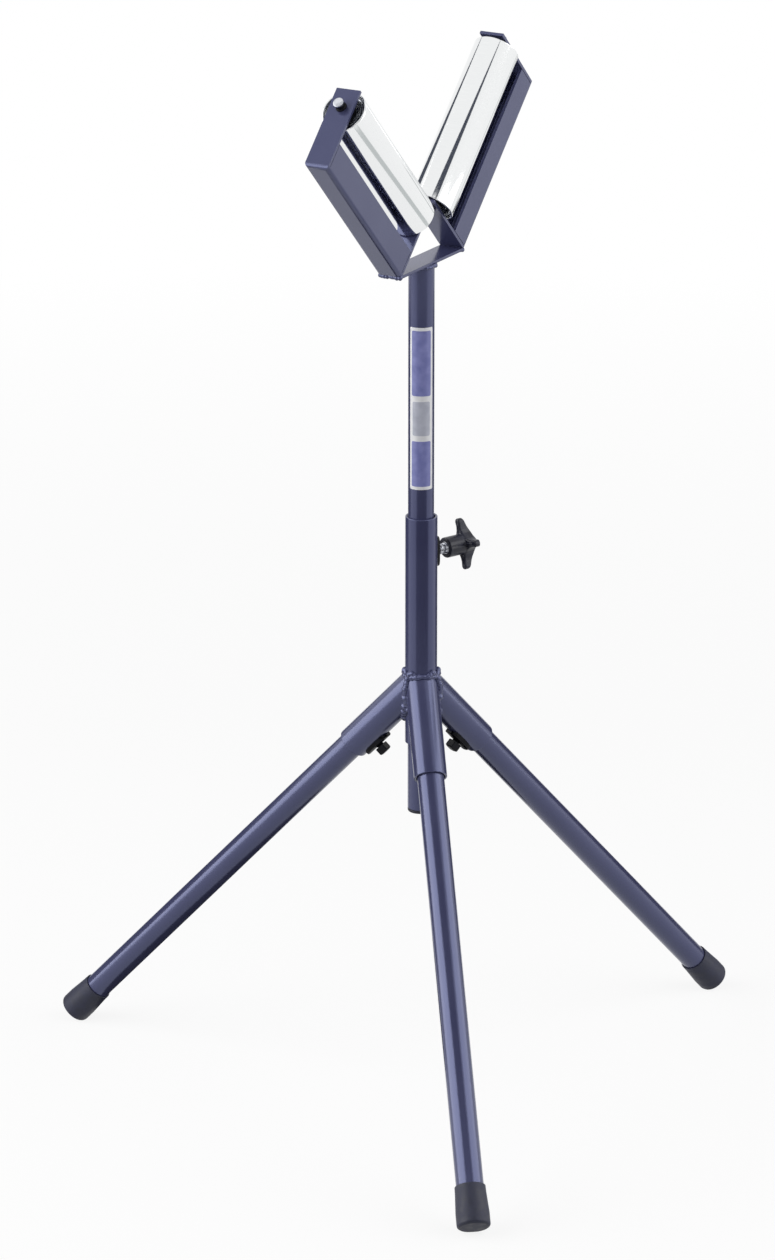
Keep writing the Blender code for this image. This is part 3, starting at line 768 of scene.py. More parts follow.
def bead_tree():
    """Flattened balls along the lines that come in."""
    inputs = [("Radius", "NodeSocketFloat"), ("Spacing", "NodeSocketFloat"), ("Seed", "NodeSocketInt")]
    tree, given, end = geometry_tree("weld_bead", inputs + [("Material", "NodeSocketMaterial")])
    line = add_node(tree, "GeometryNodeMeshToCurve", links={0: given["Geometry"]})
    links = {0: line.outputs[0], "Length": given["Spacing"]}
    points = add_node(tree, "GeometryNodeResampleCurve", {"mode": "LENGTH"}, links)
    along = add_node(tree, "GeometryNodeInputTangent")
    turn = add_node(tree, "FunctionNodeAlignEulerToVector", {"axis": "Z"}, {"Vector": along.outputs[0]})
    settings = {"data_type": "FLOAT_VECTOR", 0: (-BEAD_SWAY,) * 3, 1: (BEAD_SWAY,) * 3}
    sway = add_node(tree, "FunctionNodeRandomValue", settings, {"Seed": given["Seed"]})
    links = {0: sway.outputs[0], "Scale": given["Radius"]}
    sway = add_node(tree, "ShaderNodeVectorMath", {"operation": "SCALE"}, links)
    links = {0: points.outputs[0], "Offset": sway.outputs[0]}
    points = add_node(tree, "GeometryNodeSetPosition", links=links)
    links = {"Radius": given["Radius"]}
    ball = add_node(tree, "GeometryNodeMeshUVSphere", {"Segments": 12, "Rings": 7}, links)
    settings = {"data_type": "FLOAT", 2: BEAD_SCALES[0], 3: BEAD_SCALES[1]}
    shake = add_node(tree, "FunctionNodeRandomValue", settings, {"Seed": given["Seed"]})
    links = {"X": shake.outputs[1], "Y": shake.outputs[1]}
    flat = add_node(tree, "ShaderNodeCombineXYZ", {"Z": BEAD_FLATNESS}, links)
    links = {
        "Points": points.outputs[0],
        "Instance": ball.outputs[0],
        "Rotation": turn.outputs[0],
        "Scale": flat.outputs[0],
    }
    puddles = add_node(tree, "GeometryNodeInstanceOnPoints", links=links)
    end(puddles.outputs[0])
    return tree


WELD_PASSES = 12


def grown(mesh, tree, finish, voxel=0, **values):
    """Run a geometry tree on a mesh, melt its parts together if asked, and return the plain result."""
    thing = passing_object(mesh)
    modifier = thing.modifiers.new(tree.name, "NODES")
    modifier.node_group = tree
    values["Material"] = finish
    for item in tree.interface.items_tree:
        if item.in_out == "INPUT" and item.name in values:
            modifier[item.identifier] = values[item.name]
    if voxel:
        melt(thing, voxel, WELD_PASSES)
    return worked_out(thing)


def placed(mesh, matrix):
    """A mesh carried to its place."""
    mesh.transform(matrix)
    return mesh


# %% Threaded rods and welds
threads = thread_tree()
beads = bead_tree()


def threaded_rod(rod, thread, core, depth, pitch, edge, finish, matrix, sides=48):
    """A plain rod between two stations, with a thread wound between two others."""
    low, high = rod
    start, end = thread
    corners = ((0, low), (core, low), (core, high), (0, high))
    plain = turned(corners, Matrix(), edge, sides=sides, closed=False)
    sizes = {"Radius": core, "Pitch": pitch, "Turns": (end - start) / pitch, "Depth": depth, "Start": start}
    return placed(grown(plain, threads, finish, **sizes), matrix)


BEAD_STEP_SHARE = 0.45
BEAD_VOXEL = 0.5 * MM
WELD_SINK = 0.3 * MM


def kept_outside(mesh, point, axis, radius):
    """Push what a weld has inside a tube out to just under that tube's surface."""
    for vertex in mesh.vertices:
        offset = vertex.co - point
        station = offset.dot(axis)
        radial = offset - station * axis
        if station > 0 and 0 < radial.length < radius:
            vertex.co += radial * (radius / radial.length - 1)


def welded(name, points, body, radius, seed, closed=False, tubes=()):
    """A weld bead along a chain of points, which stays outside the tubes that it joins."""
    chain = bpy.data.meshes.new("seam")
    edges = [(index, index + 1) for index in range(len(points) - 1)]
    if closed:
        edges.append((len(points) - 1, 0))
    chain.from_pydata(points, edges, [])
    sizes = {"Radius": radius, "Spacing": radius * BEAD_STEP_SHARE, "Seed": seed}
    mesh = grown(chain, beads, weld_paint, BEAD_VOXEL, **sizes)
    for point, axis, outer in tubes:
        kept_outside(mesh, point, axis, outer - WELD_SINK)
    keep(name, mesh, body, weld_paint)


# %% [markdown]
# ## The mast and its sleeve
# Both are drawn steel tube, cut and deburred, so each end has a lip rounded by less than a
# millimetre. The sleeve is a plain length with its clamp near the top. The mast slides in it and is
# closed below by a nylon plug, pressed in, whose small flange stops just short of the mast's lip.

# %% Mast, sleeve and plug
LIP = 0.7 * MM
OUTER_TUBE_WALL = 2.2 * MM
PLUG_GAP = 0.1 * MM
PLUG_FIT = 0.3 * MM
PLUG_ROUNDING = 1.4 * MM
PLUG_EDGE = 0.4 * MM
across_camera = bearing(CAMERA_BEARING)


def tube_corners(span):
    """The four corners of a plain tube's wall."""
    return ((span.inner, span.low), (span.outer, span.low), (span.outer, span.high), (span.inner, span.high))


sleeve = measured("mast_sleeve", hub, UP)
sleeve = sleeve._replace(inner=sleeve.outer - OUTER_TUBE_WALL)
hub_axes = axes_at(hub, UP, across_camera)
keep("drawn_sleeve", turned(tube_corners(sleeve), hub_axes, LIP), "stand", paint, "mast_sleeve")

mast = measured("mast_tube", mast_axis_point, UP)
mast_axes = axes_at(mast_axis_point, UP, across_camera)
keep("drawn_mast", turned(tube_corners(mast), mast_axes, LIP), "mast", paint, "mast_tube")

plug = measured("mast_plug", mast_axis_point, UP)
plug_flange = mast.low - plug.low - PLUG_GAP
plug_spigot = mast.inner - PLUG_FIT
plug_corners = (
    (0, plug.low),
    (plug.outer, plug.low, PLUG_ROUNDING),
    (plug.outer, plug.low + plug_flange),
    (plug_spigot, plug.low + plug_flange),
    (plug_spigot, plug.high),
    (0, plug.high),
)
plug_mesh = turned(plug_corners, mast_axes, PLUG_EDGE, closed=False)
keep("pressed_plug", plug_mesh, "mast_foot", nylon, "mast_plug")
print("mast", round(mast.outer / MM, 2), "sleeve", round(sleeve.outer / MM, 2))

# %% [markdown]
# ## Sockets, coped to the sleeve
# A tube that meets another tube is coped: its end is cut to the curve where the two meet. That
# curve has a formula, so the socket is made as a grid whose first ring follows it, without a
# Boolean. Where two sockets meet, the end follows the mitre plane between them instead.

# %% Coped sockets
COPE_GAP = 0.15 * MM
SOCKET_SIDES = 128
half_spacing = math.pi / len(LEGS)


def leg_matrix(leg, point):
    """A matrix along a leg with X on its upper side."""
    return axes_at(point, leg_axes[leg], UP)


def cope_station(radius, angle):
    """Where a line on a socket's wall, at an angle from its upper side, starts along its axis."""
    sideways = abs(radius * math.sin(angle))
    on_sleeve = math.sqrt(max((sleeve.outer + COPE_GAP) ** 2 - sideways**2, 0))
    on_mitre = sideways / math.tan(half_spacing) + COPE_GAP
    level = max(on_sleeve, on_mitre)
    return (level - radius * math.cos(angle) * math.sin(leg_slope)) / math.cos(leg_slope)


def coped_socket(span, matrix):
    """A tube coped at its start, with a rounded lip at its mouth."""
    shape = bmesh.new()
    mouth = softened(tube_corners(span), LIP)
    mouth = [point for point in mouth if point.y > (span.low + span.high) / 2]
    columns = []
    for side in range(SOCKET_SIDES):
        angle = 2 * math.pi * side / SOCKET_SIDES
        outside = (span.outer, cope_station(span.outer, angle))
        inside = (span.inner, cope_station(span.inner, angle))
        profile = [outside, *mouth, inside]
        column = [shape.verts.new((r * math.cos(angle), r * math.sin(angle), z)) for r, z in profile]
        columns.append(column)
    for column, following in zip(columns, columns[1:] + columns[:1]):
        for index in range(len(column)):
            after = (index + 1) % len(column)
            shape.faces.new((column[index], following[index], following[after], column[after]))
    return closed_mesh(shape, matrix)


sockets = {}
for leg in LEGS:
    span = measured(f"socket_{leg}", hub, leg_axes[leg])
    sockets[leg] = span._replace(inner=span.outer - OUTER_TUBE_WALL)
    mesh = coped_socket(sockets[leg], leg_matrix(leg, hub))
    keep(f"coped_socket_{leg}", mesh, "stand", paint, f"socket_{leg}")
print("sockets", round(sockets["front"].outer / MM, 2), "mouth at", round(sockets["front"].high / MM, 1))

# %% [markdown]
# ## Weld beads
# The sockets are welded to the sleeve and to each other all round, the mast to the plate under the
# V, and the brackets to that plate. The beads follow the same formulas as the cuts. A bead is a
# row of whole balls, so its inner half would stand in the bore where the mast slides: what lies
# inside a tube is pushed out to just under that tube's surface.

# %% Weld beads on the stand
BEAD = 3.1 * MM
CROTCH_BEAD = 4.0 * MM
UNDER_BEAD = 4.8 * MM
WEB_BEAD = 5.2 * MM
WEB_SPAN = math.radians(22)
SECOND_PASS_RISE = 4.5 * MM
PASS_STEPS = 12
SADDLE_LIMIT = math.asin(min(1, sleeve.outer * math.sin(half_spacing) / sockets["front"].outer))


def seam_points(leg, first, last, count=24):
    """Points on the cope of a socket between two angles from its upper side."""
    matrix = leg_matrix(leg, hub)
    radius = sockets[leg].outer
    points = []
    for step in range(count + 1):
        angle = first + (last - first) * step / count
        station = cope_station(radius, angle)
        points.append(matrix @ Vector((radius * math.cos(angle), radius * math.sin(angle), station)))
    return points


def second_pass(leg, first, last):
    """An arc of weld on the sleeve above a socket's upper seam."""
    points = seam_points(leg, first, last, count=PASS_STEPS)
    rises = [SECOND_PASS_RISE * math.sin(math.pi * step / PASS_STEPS) for step in range(PASS_STEPS + 1)]
    return [spot + rise * UP for spot, rise in zip(points, rises)]


joined_tubes = [(hub, leg_axes[leg], sockets[leg].outer) for leg in LEGS]
joined_tubes.append((Vector((hub.x, hub.y, 0)), UP, sleeve.outer))
for number, leg in enumerate(LEGS):
    under = math.pi - SADDLE_LIMIT
    seams = {
        "over": (seam_points(leg, -SADDLE_LIMIT, SADDLE_LIMIT), BEAD),
        "under": (seam_points(leg, under, under + 2 * SADDLE_LIMIT), UNDER_BEAD),
        "between": (seam_points(leg, SADDLE_LIMIT, under), CROTCH_BEAD),
        "web": (seam_points(leg, under - WEB_SPAN, under), WEB_BEAD),
        "cap_one": (second_pass(leg, -SADDLE_LIMIT, -SADDLE_LIMIT / 3), BEAD),
        "cap_two": (second_pass(leg, SADDLE_LIMIT / 2, SADDLE_LIMIT), BEAD),
    }
    for place, (points, radius) in seams.items():
        seed = number + 10 * len(place)
        welded(f"weld_{place}_{leg}", points, "stand", radius, seed=seed, tubes=joined_tubes)

# %% [markdown]
# ## Legs and feet
# Each leg is a length of tube, held in its socket by a square headed screw. Its rubber foot is a
# deep cup with a chamfered mouth and a flared toe, worn flat where it stands on the floor, so the
# turned foot is cut at floor level.

# %% Legs and feet
FOOT_SOLE_EDGE = 3.0 * MM
FOOT_MOUTH_EDGE = 1.2 * MM
FOOT_EDGE = 0.3 * MM
FOOT_FIT = 0.3 * MM
FOOT_WALL = 1.2 * MM
FOOT_SWELL = 0.2 * MM
FOOT_COLLAR = 7 * MM
FOOT_TOE_LENGTH = 14 * MM
FOOT_TOE_INSET = 0.1 * MM
FOOT_CURVE = 12 * MM


def cut_at_floor(mesh):
    """Cut off what reaches below the floor and close the cut."""
    shape = bmesh.new()
    shape.from_mesh(mesh)
    everything = shape.verts[:] + shape.edges[:] + shape.faces[:]
    cut = bmesh.ops.bisect_plane(shape, geom=everything, plane_co=(0, 0, 0), plane_no=UP, clear_inner=True)
    rim = [item for item in cut["geom_cut"] if isinstance(item, bmesh.types.BMEdge)]
    bmesh.ops.contextual_create(shape, geom=rim)
    return closed_mesh(shape)


for leg in LEGS:
    axis = leg_axes[leg]
    point = centre_of(f"leg_tube_{leg}")
    point = point - (point - hub).dot(axis) * axis
    matrix = leg_matrix(leg, point)
    tube = measured(f"leg_tube_{leg}", point, axis)
    keep(f"drawn_leg_{leg}", turned(tube_corners(tube), matrix, LIP), f"leg_{leg}", paint, f"leg_tube_{leg}")
    foot = measured(f"foot_{leg}", point, axis)
    bore = tube.outer + FOOT_FIT
    mouth_radius = bore + FOOT_WALL
    toe = foot.outer - FOOT_TOE_INSET
    foot_corners = (
        (0, tube.high + FOOT_FIT),
        (bore, tube.high + FOOT_FIT),
        (bore, foot.low),
        (mouth_radius, foot.low, FOOT_MOUTH_EDGE),
        (mouth_radius + FOOT_SWELL, foot.low + FOOT_COLLAR, FOOT_CURVE),
        (toe, foot.high - FOOT_TOE_LENGTH, FOOT_CURVE),
        (toe, foot.high, FOOT_SOLE_EDGE),
        (0, foot.high),
    )
    mesh = cut_at_floor(turned(foot_corners, matrix, FOOT_EDGE, closed=False))
    keep(f"moulded_foot_{leg}", mesh, f"leg_{leg}", rubber, f"foot_{leg}")
print("feet end", round(foot.high / MM, 1), "mm along the leg")

# %% [markdown]
# ## Pads and square headed screws
# Under each screw a small steel pad is curved to its tube and welded on; it gives the thread its
# length. The pad is an oblong with round corners, bent over the tube: each point is set at the
# height of the cylinder under it. The oblong is a superellipse, whose one formula gives straight
# sides and round corners. The screws have a short neck of thread and a chamfered square head.

# %% Curved pads
PAD_RIM = 0.8 * MM
PAD_SQUARENESS = 4
PAD_SIDES = 96
PAD_STEPS = 8
PAD_GAP = 0.1 * MM
HOLE_FIT = 0.2 * MM


def pad_reach(angle, half_length, half_width):
    """How far the pad's edge lies from its middle at an angle."""
    along = abs(math.cos(angle)) / half_length
    across = abs(math.sin(angle)) / half_width
    return (along**PAD_SQUARENESS + across**PAD_SQUARENESS) ** (-1 / PAD_SQUARENESS)


def curved_pad(node, point, axis, tube_axis, hole, inner):
    """A pad bent over a tube that runs along the pad's X; Z points out of the tube."""
    matrix = axes_at(point, axis, tube_axis)
    inverse = matrix.inverted()
    local = [inverse @ vertex.co for vertex in frame["nodes"][node].data.vertices]
    half_length = max(spot.x for spot in local)
    half_width = max(spot.y for spot in local)
    outer = max(math.hypot(spot.y, spot.z) for spot in local)
    shares = [step / PAD_STEPS for step in range(PAD_STEPS + 1)]
    top = [(share, PAD_RIM, 0) for share in shares] + [(1, PAD_RIM * 0.3, PAD_RIM * 0.3), (1, 0, PAD_RIM)]
    bottom = [(share, 0, None) for share in reversed(shares)]
    shape = bmesh.new()
    rings = []
    for share, inset, sink in top + bottom:
        ring = []
        for side in range(PAD_SIDES):
            angle = 2 * math.pi * side / PAD_SIDES
            edge = pad_reach(angle, half_length - inset, half_width - inset)
            distance = hole + (edge - hole) * share
            y = distance * math.sin(angle)
            level = inner if sink is None else outer - sink
            ring.append(shape.verts.new((distance * math.cos(angle), y, math.sqrt(level**2 - y**2))))
        rings.append(ring)
    for first, second in zip(rings, rings[1:] + rings[:1]):
        for side in range(PAD_SIDES):
            after = (side + 1) % PAD_SIDES
            shape.faces.new((first[side], first[after], second[after], second[side]))
    return closed_mesh(shape, matrix)


# %% Leg pads and screws
SCREW_PITCH = 1.25 * MM
SCREW_RADIUS = 4.0 * MM
SCREW_THREAD_DEPTH = 0.6 * MM
SCREW_POINT_EDGE = 0.4 * MM
HEAD_HALF = 5.0 * MM
HEAD_HEIGHT = 8.0 * MM
# One row for each ring of the head: its inset, its depth below the top and its corners' radius.
head_rings = (
    (0.4 * MM, HEAD_HEIGHT, 0.8 * MM),
    (0, HEAD_HEIGHT - 0.4 * MM, 0.8 * MM),
    (0, 1.3 * MM, 0.8 * MM),
    (0.5 * MM, 0.5 * MM, 1.2 * MM),
    (1.4 * MM, 0, 2.0 * MM),
)


def square_ring(half, station, corner):
    """A square with round corners, at a station."""
    outline = softened(((half, half), (-half, half), (-half, -half), (half, -half)), corner, steps=3)
    return [(point.x, point.y, station) for point in outline]


for leg in LEGS:
    joint = joints[f"leg_screw_{leg}_turn"]
    point = Vector(joint["pos_m"])
    axis = Vector(joint["axis"])
    matrix = axes_at(point, axis, leg_axes[leg])
    pad_inner = sockets[leg].outer + PAD_GAP
    mesh = curved_pad(f"pad_{leg}", point, axis, leg_axes[leg], SCREW_RADIUS + HOLE_FIT, pad_inner)
    keep(f"curved_pad_{leg}", mesh, "stand", oxide_and_shade, f"pad_{leg}")
    screw = measured(f"leg_screw_{leg}", point, axis)
    shank = (screw.low, screw.high - HEAD_HEIGHT / 2)
    thread = (screw.low, screw.high - HEAD_HEIGHT)
    sizes = (SCREW_RADIUS - SCREW_THREAD_DEPTH, SCREW_THREAD_DEPTH, SCREW_PITCH, SCREW_POINT_EDGE)
    rod = threaded_rod(shank, thread, *sizes, oxide_and_shade, matrix, sides=32)
    keep(f"screw_thread_{leg}", rod, f"leg_screw_{leg}", oxide_and_shade)
    rings = []
    for inset, depth, corner in head_rings:
        rings.append(square_ring(HEAD_HALF - inset, screw.high - depth, corner))
    keep(f"square_head_{leg}", lofted(rings, matrix), f"leg_screw_{leg}", oxide_and_shade, f"leg_screw_{leg}")
print("leg screw head ends", round(screw.high / MM, 1), "mm from the leg's axis")

# %% [markdown]
# ## The mast clamp
# A steel screw runs through a pad on the sleeve and presses on the mast. Its outer end is moulded
# into a nylon cross knob: four rounded arms with hollow flanks between them on a short neck. The
# arms' outline is made of arcs, drawn in by the right amount at each level to round its edges.

# %% Clamp screw and knob
clamp_axes = axes_at(clamp_point, clamp_axis, UP)
CLAMP_RADIUS = 5.0 * MM
CLAMP_PITCH = 1.5 * MM
CLAMP_THREAD_DEPTH = 0.8 * MM
CLAMP_POINT_EDGE = 0.5 * MM
CLAMP_PLAIN_END = 2 * MM

mesh = curved_pad("clamp_pad", clamp_point, clamp_axis, UP, CLAMP_RADIUS + HOLE_FIT, sleeve.outer + PAD_GAP)
keep("curved_clamp_pad", mesh, "stand", oxide_and_shade, "clamp_pad")

screw = measured("clamp_screw", clamp_point, clamp_axis)
thread = (screw.low + CLAMP_PLAIN_END, screw.high - CLAMP_PLAIN_END)
sizes = (CLAMP_RADIUS - CLAMP_THREAD_DEPTH, CLAMP_THREAD_DEPTH, CLAMP_PITCH, CLAMP_POINT_EDGE)
rod = threaded_rod((screw.low, screw.high), thread, *sizes, zinc, clamp_axes)
keep("threaded_clamp_screw", rod, "clamp_screw", zinc, "clamp_screw")

BUSH_STEP = 1.1 * MM
BUSH_FIT = 0.3 * MM
BUSH_EDGE = 0.5 * MM
bush = measured("knob_bush", clamp_point, clamp_axis)
bush_radius = bush.outer - BUSH_STEP
bush_corners = (
    (CLAMP_RADIUS + BUSH_FIT, bush.low),
    (bush_radius, bush.low, BUSH_EDGE),
    (bush_radius, bush.high),
    (CLAMP_RADIUS + BUSH_FIT, bush.high),
)
mesh = turned(bush_corners, clamp_axes, 0.3 * MM, sides=64)
keep("turned_knob_bush", mesh, "clamp_knob", zinc, "knob_bush")

# %% Cross knob
knob = measured("clamp_knob", clamp_point, clamp_axis)
ARM_WIDTH = 7.0 * MM
ARM_THICKNESS = 12.5 * MM
ARM_TIP_THICKNESS = 6.0 * MM
ARM_EDGE = 2.2 * MM
VALLEY_RADIUS = 10.4 * MM
NECK_RADIUS = 10.0 * MM
NECK_LENGTH = 18.3 * MM
RIB_HALF = 1.3 * MM
RIB_HEIGHT = 1.1 * MM
KNOB_TURN = math.radians(15)
KNOB_VOXEL = 0.45 * MM
KNOB_ARMS = 4
ARC_STEPS = 8
RECESS_FIT = 0.15 * MM
RECESS_FLARE = 0.6 * MM


def cross_outline(inset):
    """The cross knob's outline, drawn in by an inset."""
    tip = ARM_WIDTH / 2
    centre = knob.outer - tip
    slant = math.sqrt(2) * centre
    excess = VALLEY_RADIUS**2 - slant * VALLEY_RADIUS + centre**2 - tip**2
    hollow = excess / (2 * tip + slant - 2 * VALLEY_RADIUS)
    far = (VALLEY_RADIUS + hollow) / math.sqrt(2)
    lean = math.atan2(far, centre - far)
    points = []
    for arm in range(KNOB_ARMS):
        turn = Matrix.Rotation(arm * math.pi / 2 - KNOB_TURN, 3, "Z")
        for step in range(-ARC_STEPS, ARC_STEPS + 1):
            angle = (math.pi - lean) * step / ARC_STEPS
            radius = tip - inset
            points.append(turn @ Vector((centre + radius * math.cos(angle), radius * math.sin(angle), 0)))
        for step in range(1, ARC_STEPS):
            share = step / ARC_STEPS
            angle = -lean * (1 - share) + (lean - math.pi / 2) * share - math.pi * share
            radius = hollow + inset
            points.append(turn @ Vector((far + radius * math.cos(angle), far + radius * math.sin(angle), 0)))
    return points


def cross_levels(low):
    """The outline at each level: its edges rounded, and thinner towards the tips."""
    levels = [(ARM_EDGE * (1 - math.sin(a)), ARM_EDGE * (1 - math.cos(a))) for a in quarter]
    levels += [(ARM_EDGE * (1 - math.cos(a)), ARM_THICKNESS - ARM_EDGE * (1 - math.sin(a))) for a in quarter]
    rings = []
    for inset, level in levels:
        ring = []
        for point in cross_outline(inset):
            reach = (point.xy.length - VALLEY_RADIUS) / (knob.outer - VALLEY_RADIUS)
            share = 1 - max(reach, 0) * (1 - ARM_TIP_THICKNESS / ARM_THICKNESS)
            ring.append((point.x, point.y, low + level * share))
        rings.append(ring)
    return rings


def back_rib(arm, low):
    """A rib along the back of an arm, sunk into it and running out at the tip."""
    turn = Matrix.Rotation(arm * math.pi / 2 - KNOB_TURN, 4, "Z")
    spine = ((NECK_RADIUS * 0.6, RIB_HEIGHT), (knob.outer * 0.7, RIB_HEIGHT), (knob.outer - 4 * MM, 0))
    rings = []
    for reach, height in spine:
        section = ((RIB_HALF * 2, low + RIB_HALF), (0, low - height), (-RIB_HALF * 2, low + RIB_HALF))
        rings.append([(reach, y, z) for y, z in section])
    return placed(lofted(rings), turn)


def moulded_knob():
    """Arms, neck and ribs melted into one skin, with a recess for the bush."""
    arms_low = knob.low + NECK_LENGTH
    arms = lofted(cross_levels(arms_low))
    neck_corners = (
        (0, knob.low),
        (NECK_RADIUS, knob.low, 1.0 * MM),
        (NECK_RADIUS, arms_low + 1 * MM, 2 * MM),
        (VALLEY_RADIUS, arms_low + ARM_THICKNESS * 0.5, 2 * MM),
        (VALLEY_RADIUS * 0.8, knob.high - 1.0 * MM, 3 * MM),
        (0, knob.high),
    )
    neck = turned(neck_corners, Matrix(), 0.5 * MM, sides=64, closed=False)
    ribs = [("UNION", back_rib(arm, arms_low)) for arm in range(KNOB_ARMS)]
    thing = passing_object(combined(arms, ("UNION", neck), *ribs))
    melt(thing, KNOB_VOXEL)
    mesh = worked_out(thing)
    reach = bush_radius + RECESS_FIT
    mouth = knob.low - 2 * MM
    recess = (
        (0, mouth),
        (reach + RECESS_FLARE, mouth),
        (reach, knob.low + 1 * MM),
        (reach, bush.high),
        (0, bush.high),
    )
    return combined(mesh, ("DIFFERENCE", revolved(recess, Matrix(), 64, closed=False)))


keep("moulded_cross_knob", placed(moulded_knob(), clamp_axes), "clamp_knob", nylon, "clamp_knob")
knob_sizes = [round(value / MM, 1) for value in (2 * knob.outer, knob.low, knob.high)]
print("knob's width, start and end in mm:", knob_sizes)

# %% [markdown]
# ## The printed film on the mast
# A strip of white vinyl with plain panels is stuck to the mast's front. Each panel is a grid of
# points bent round the tube, and its ends are narrowed row by row to give rounded corners.

# %% Film and panels
FILM_LOW = 194.5 * MM
FILM_HIGH = 354.5 * MM
FILM_WIDTH = 24.5 * MM
FILM_THICKNESS = 0.06 * MM
FILM_CORNER = 1.5 * MM
FILM_COLUMNS = 24
FILM_BEARING = CAMERA_BEARING


def bent_film(low, high, width, corner, layer):
    """A rounded strip bent round the mast, a layer's thickness above what is below it."""
    rows = [(low + corner * (1 - math.cos(a)), corner * (1 - math.sin(a))) for a in quarter]
    rows += [(high - corner * (1 - math.cos(a)), corner * (1 - math.sin(a))) for a in reversed(quarter)]
    radius = mast.outer + FILM_THICKNESS * layer
    shape = bmesh.new()
    grid = []
    for height, inset in rows:
        half = width / 2 - inset
        offsets = [half * (2 * column / FILM_COLUMNS - 1) for column in range(FILM_COLUMNS + 1)]
        spots = [bearing(FILM_BEARING + offset / mast.outer) * radius + height * UP for offset in offsets]
        grid.append([shape.verts.new(mast_axis_point + spot) for spot in spots])
    for lower, upper in zip(grid, grid[1:]):
        for column in range(FILM_COLUMNS):
            shape.faces.new((lower[column], lower[column + 1], upper[column + 1], upper[column]))
    bmesh.ops.recalc_face_normals(shape, faces=shape.faces)
    bmesh.ops.solidify(shape, geom=shape.faces[:], thickness=FILM_THICKNESS)
    return closed_mesh(shape)


def film_panel(name, low_share, high_share, width, finish, layer):
    """A panel between two shares of the film's height."""
    length = FILM_HIGH - FILM_LOW
    ends = (FILM_LOW + low_share * length, FILM_LOW + high_share * length)
    mesh = bent_film(*ends, width, FILM_CORNER, layer)
    keep(name, mesh, "mast", finish)


film_panel("film_white", 0.0, 1.0, FILM_WIDTH, white_vinyl, 1)
film_panel("film_violet_low", 0.02, 0.30, FILM_WIDTH - 5 * MM, violet_vinyl, 2)
film_panel("film_grey", 0.335, 0.545, FILM_WIDTH - 7 * MM, grey_vinyl, 2)
film_panel("film_violet_high", 0.58, 0.98, FILM_WIDTH - 5 * MM, violet_vinyl, 2)

# %% [markdown]
# ## The head
# The base plate is a flat bar welded on the mast. Each bracket is one sheet, folded four times: two
# long flanges make it a channel, and two tabs close its ends and carry the axle. A fold is rounded
# outside by about its thickness, so the bracket starts as a block with rounded back edges. A
# Boolean opens the channel, cuts the flanges down and parts them from the tabs by a fine slit.

# %% Base plate
PLATE_EDGE = 0.4 * MM
plate_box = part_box("base_plate")
plate_thickness = plate_box[1].z - plate_box[0].z
plate_half = plate_box[1].x - mast_axis_point.x
plate_top_half = plate_half - plate_thickness
width_low = plate_box[0].y
width_high = plate_box[1].y
plate_outline = (
    (-plate_half, plate_box[0].z),
    (plate_half, plate_box[0].z),
    (plate_top_half, plate_box[1].z),
    (-plate_top_half, plate_box[1].z),
)
plate_rings = [[(mast_axis_point.x + x, y, z) for x, z in plate_outline] for y in (width_low, width_high)]
keep("flat_bar_plate", edges_bevelled(lofted(plate_rings), PLATE_EDGE), "mast", paint, "base_plate")

# %% Folded brackets
SHEET = plate_thickness
FOLD = 4.2 * MM
CUT_PAST = 5.0 * MM
FLANGE_HEIGHT = 29.0 * MM
SLIT = 0.5 * MM
SHEET_EDGE = 0.35 * MM
AXLE_HOLE_FIT = 0.3 * MM


def block(low, high):
    """A box between two corners."""
    rings = []
    for z in (low[2], high[2]):
        rings.append([(low[0], low[1], z), (high[0], low[1], z), (high[0], high[1], z), (low[0], high[1], z)])
    return lofted(rings)


def back_rounded(mesh, back, radius, segments):
    """Round the edges of a block that lie in the plane of its back."""
    shape = bmesh.new()
    shape.from_mesh(mesh)
    edges = [edge for edge in shape.edges if all(abs(vertex.co.x - back) < SLIT for vertex in edge.verts)]
    bmesh.ops.bevel(shape, geom=edges, offset=radius, segments=segments, affect="EDGES", profile=0.5)
    return closed_mesh(shape)


def folded_bracket(height, width, length, hole, hole_height):
    """A bracket with X away from its back, Y across and Z along it."""
    half = width / 2
    far = height + CUT_PAST
    side = half + CUT_PAST
    end = length - SHEET
    body = back_rounded(block((0, -half, 0), (height, half, length)), 0, FOLD, 8)
    channel = block((SHEET, SHEET - half, SHEET), (far, half - SHEET, end))
    channel = back_rounded(channel, SHEET, FOLD - SHEET, 6)
    window = block((FLANGE_HEIGHT, -side, SHEET), (far, side, end))
    low_slit = block((FOLD + SLIT, -side, SHEET), (far, side, SHEET + SLIT))
    high_slit = block((FOLD + SLIT, -side, end - SLIT), (far, side, end))
    drill_corners = ((0, -side), (hole, -side), (hole, length + side), (0, length + side))
    drill = revolved(drill_corners, Matrix.Translation((hole_height, 0, 0)), 48, closed=False)
    steps = [("DIFFERENCE", cutter) for cutter in (channel, window, low_slit, high_slit, drill)]
    return edges_bevelled(combined(body, *steps), SHEET_EDGE)


rollers = {}
for side in ROLLERS:
    joint = joints[f"roller_{side}_spin"]
    point = Vector(joint["pos_m"])
    axis = Vector(joint["axis"])
    matrix = axes_at(point, axis, UP)
    rollers[side] = (point, axis, matrix)
    inverse = matrix.inverted()
    local = [inverse @ vertex.co for vertex in frame["nodes"][f"bracket_{side}"].data.vertices]
    low = Vector([min(spot[i] for spot in local) for i in range(3)])
    high = Vector([max(spot[i] for spot in local) for i in range(3)])
    axle = measured(f"axle_{side}", point, axis)
    size = [top - bottom for top, bottom in zip(high, low)]
    mesh = folded_bracket(*size, axle.outer + AXLE_HOLE_FIT, -low.x)
    mesh.transform(matrix @ Matrix.Translation((low.x, 0, low.z)))
    keep(f"folded_bracket_{side}", mesh, "mast", paint, f"bracket_{side}")
print("bracket", [round(value / MM, 1) for value in high - low])

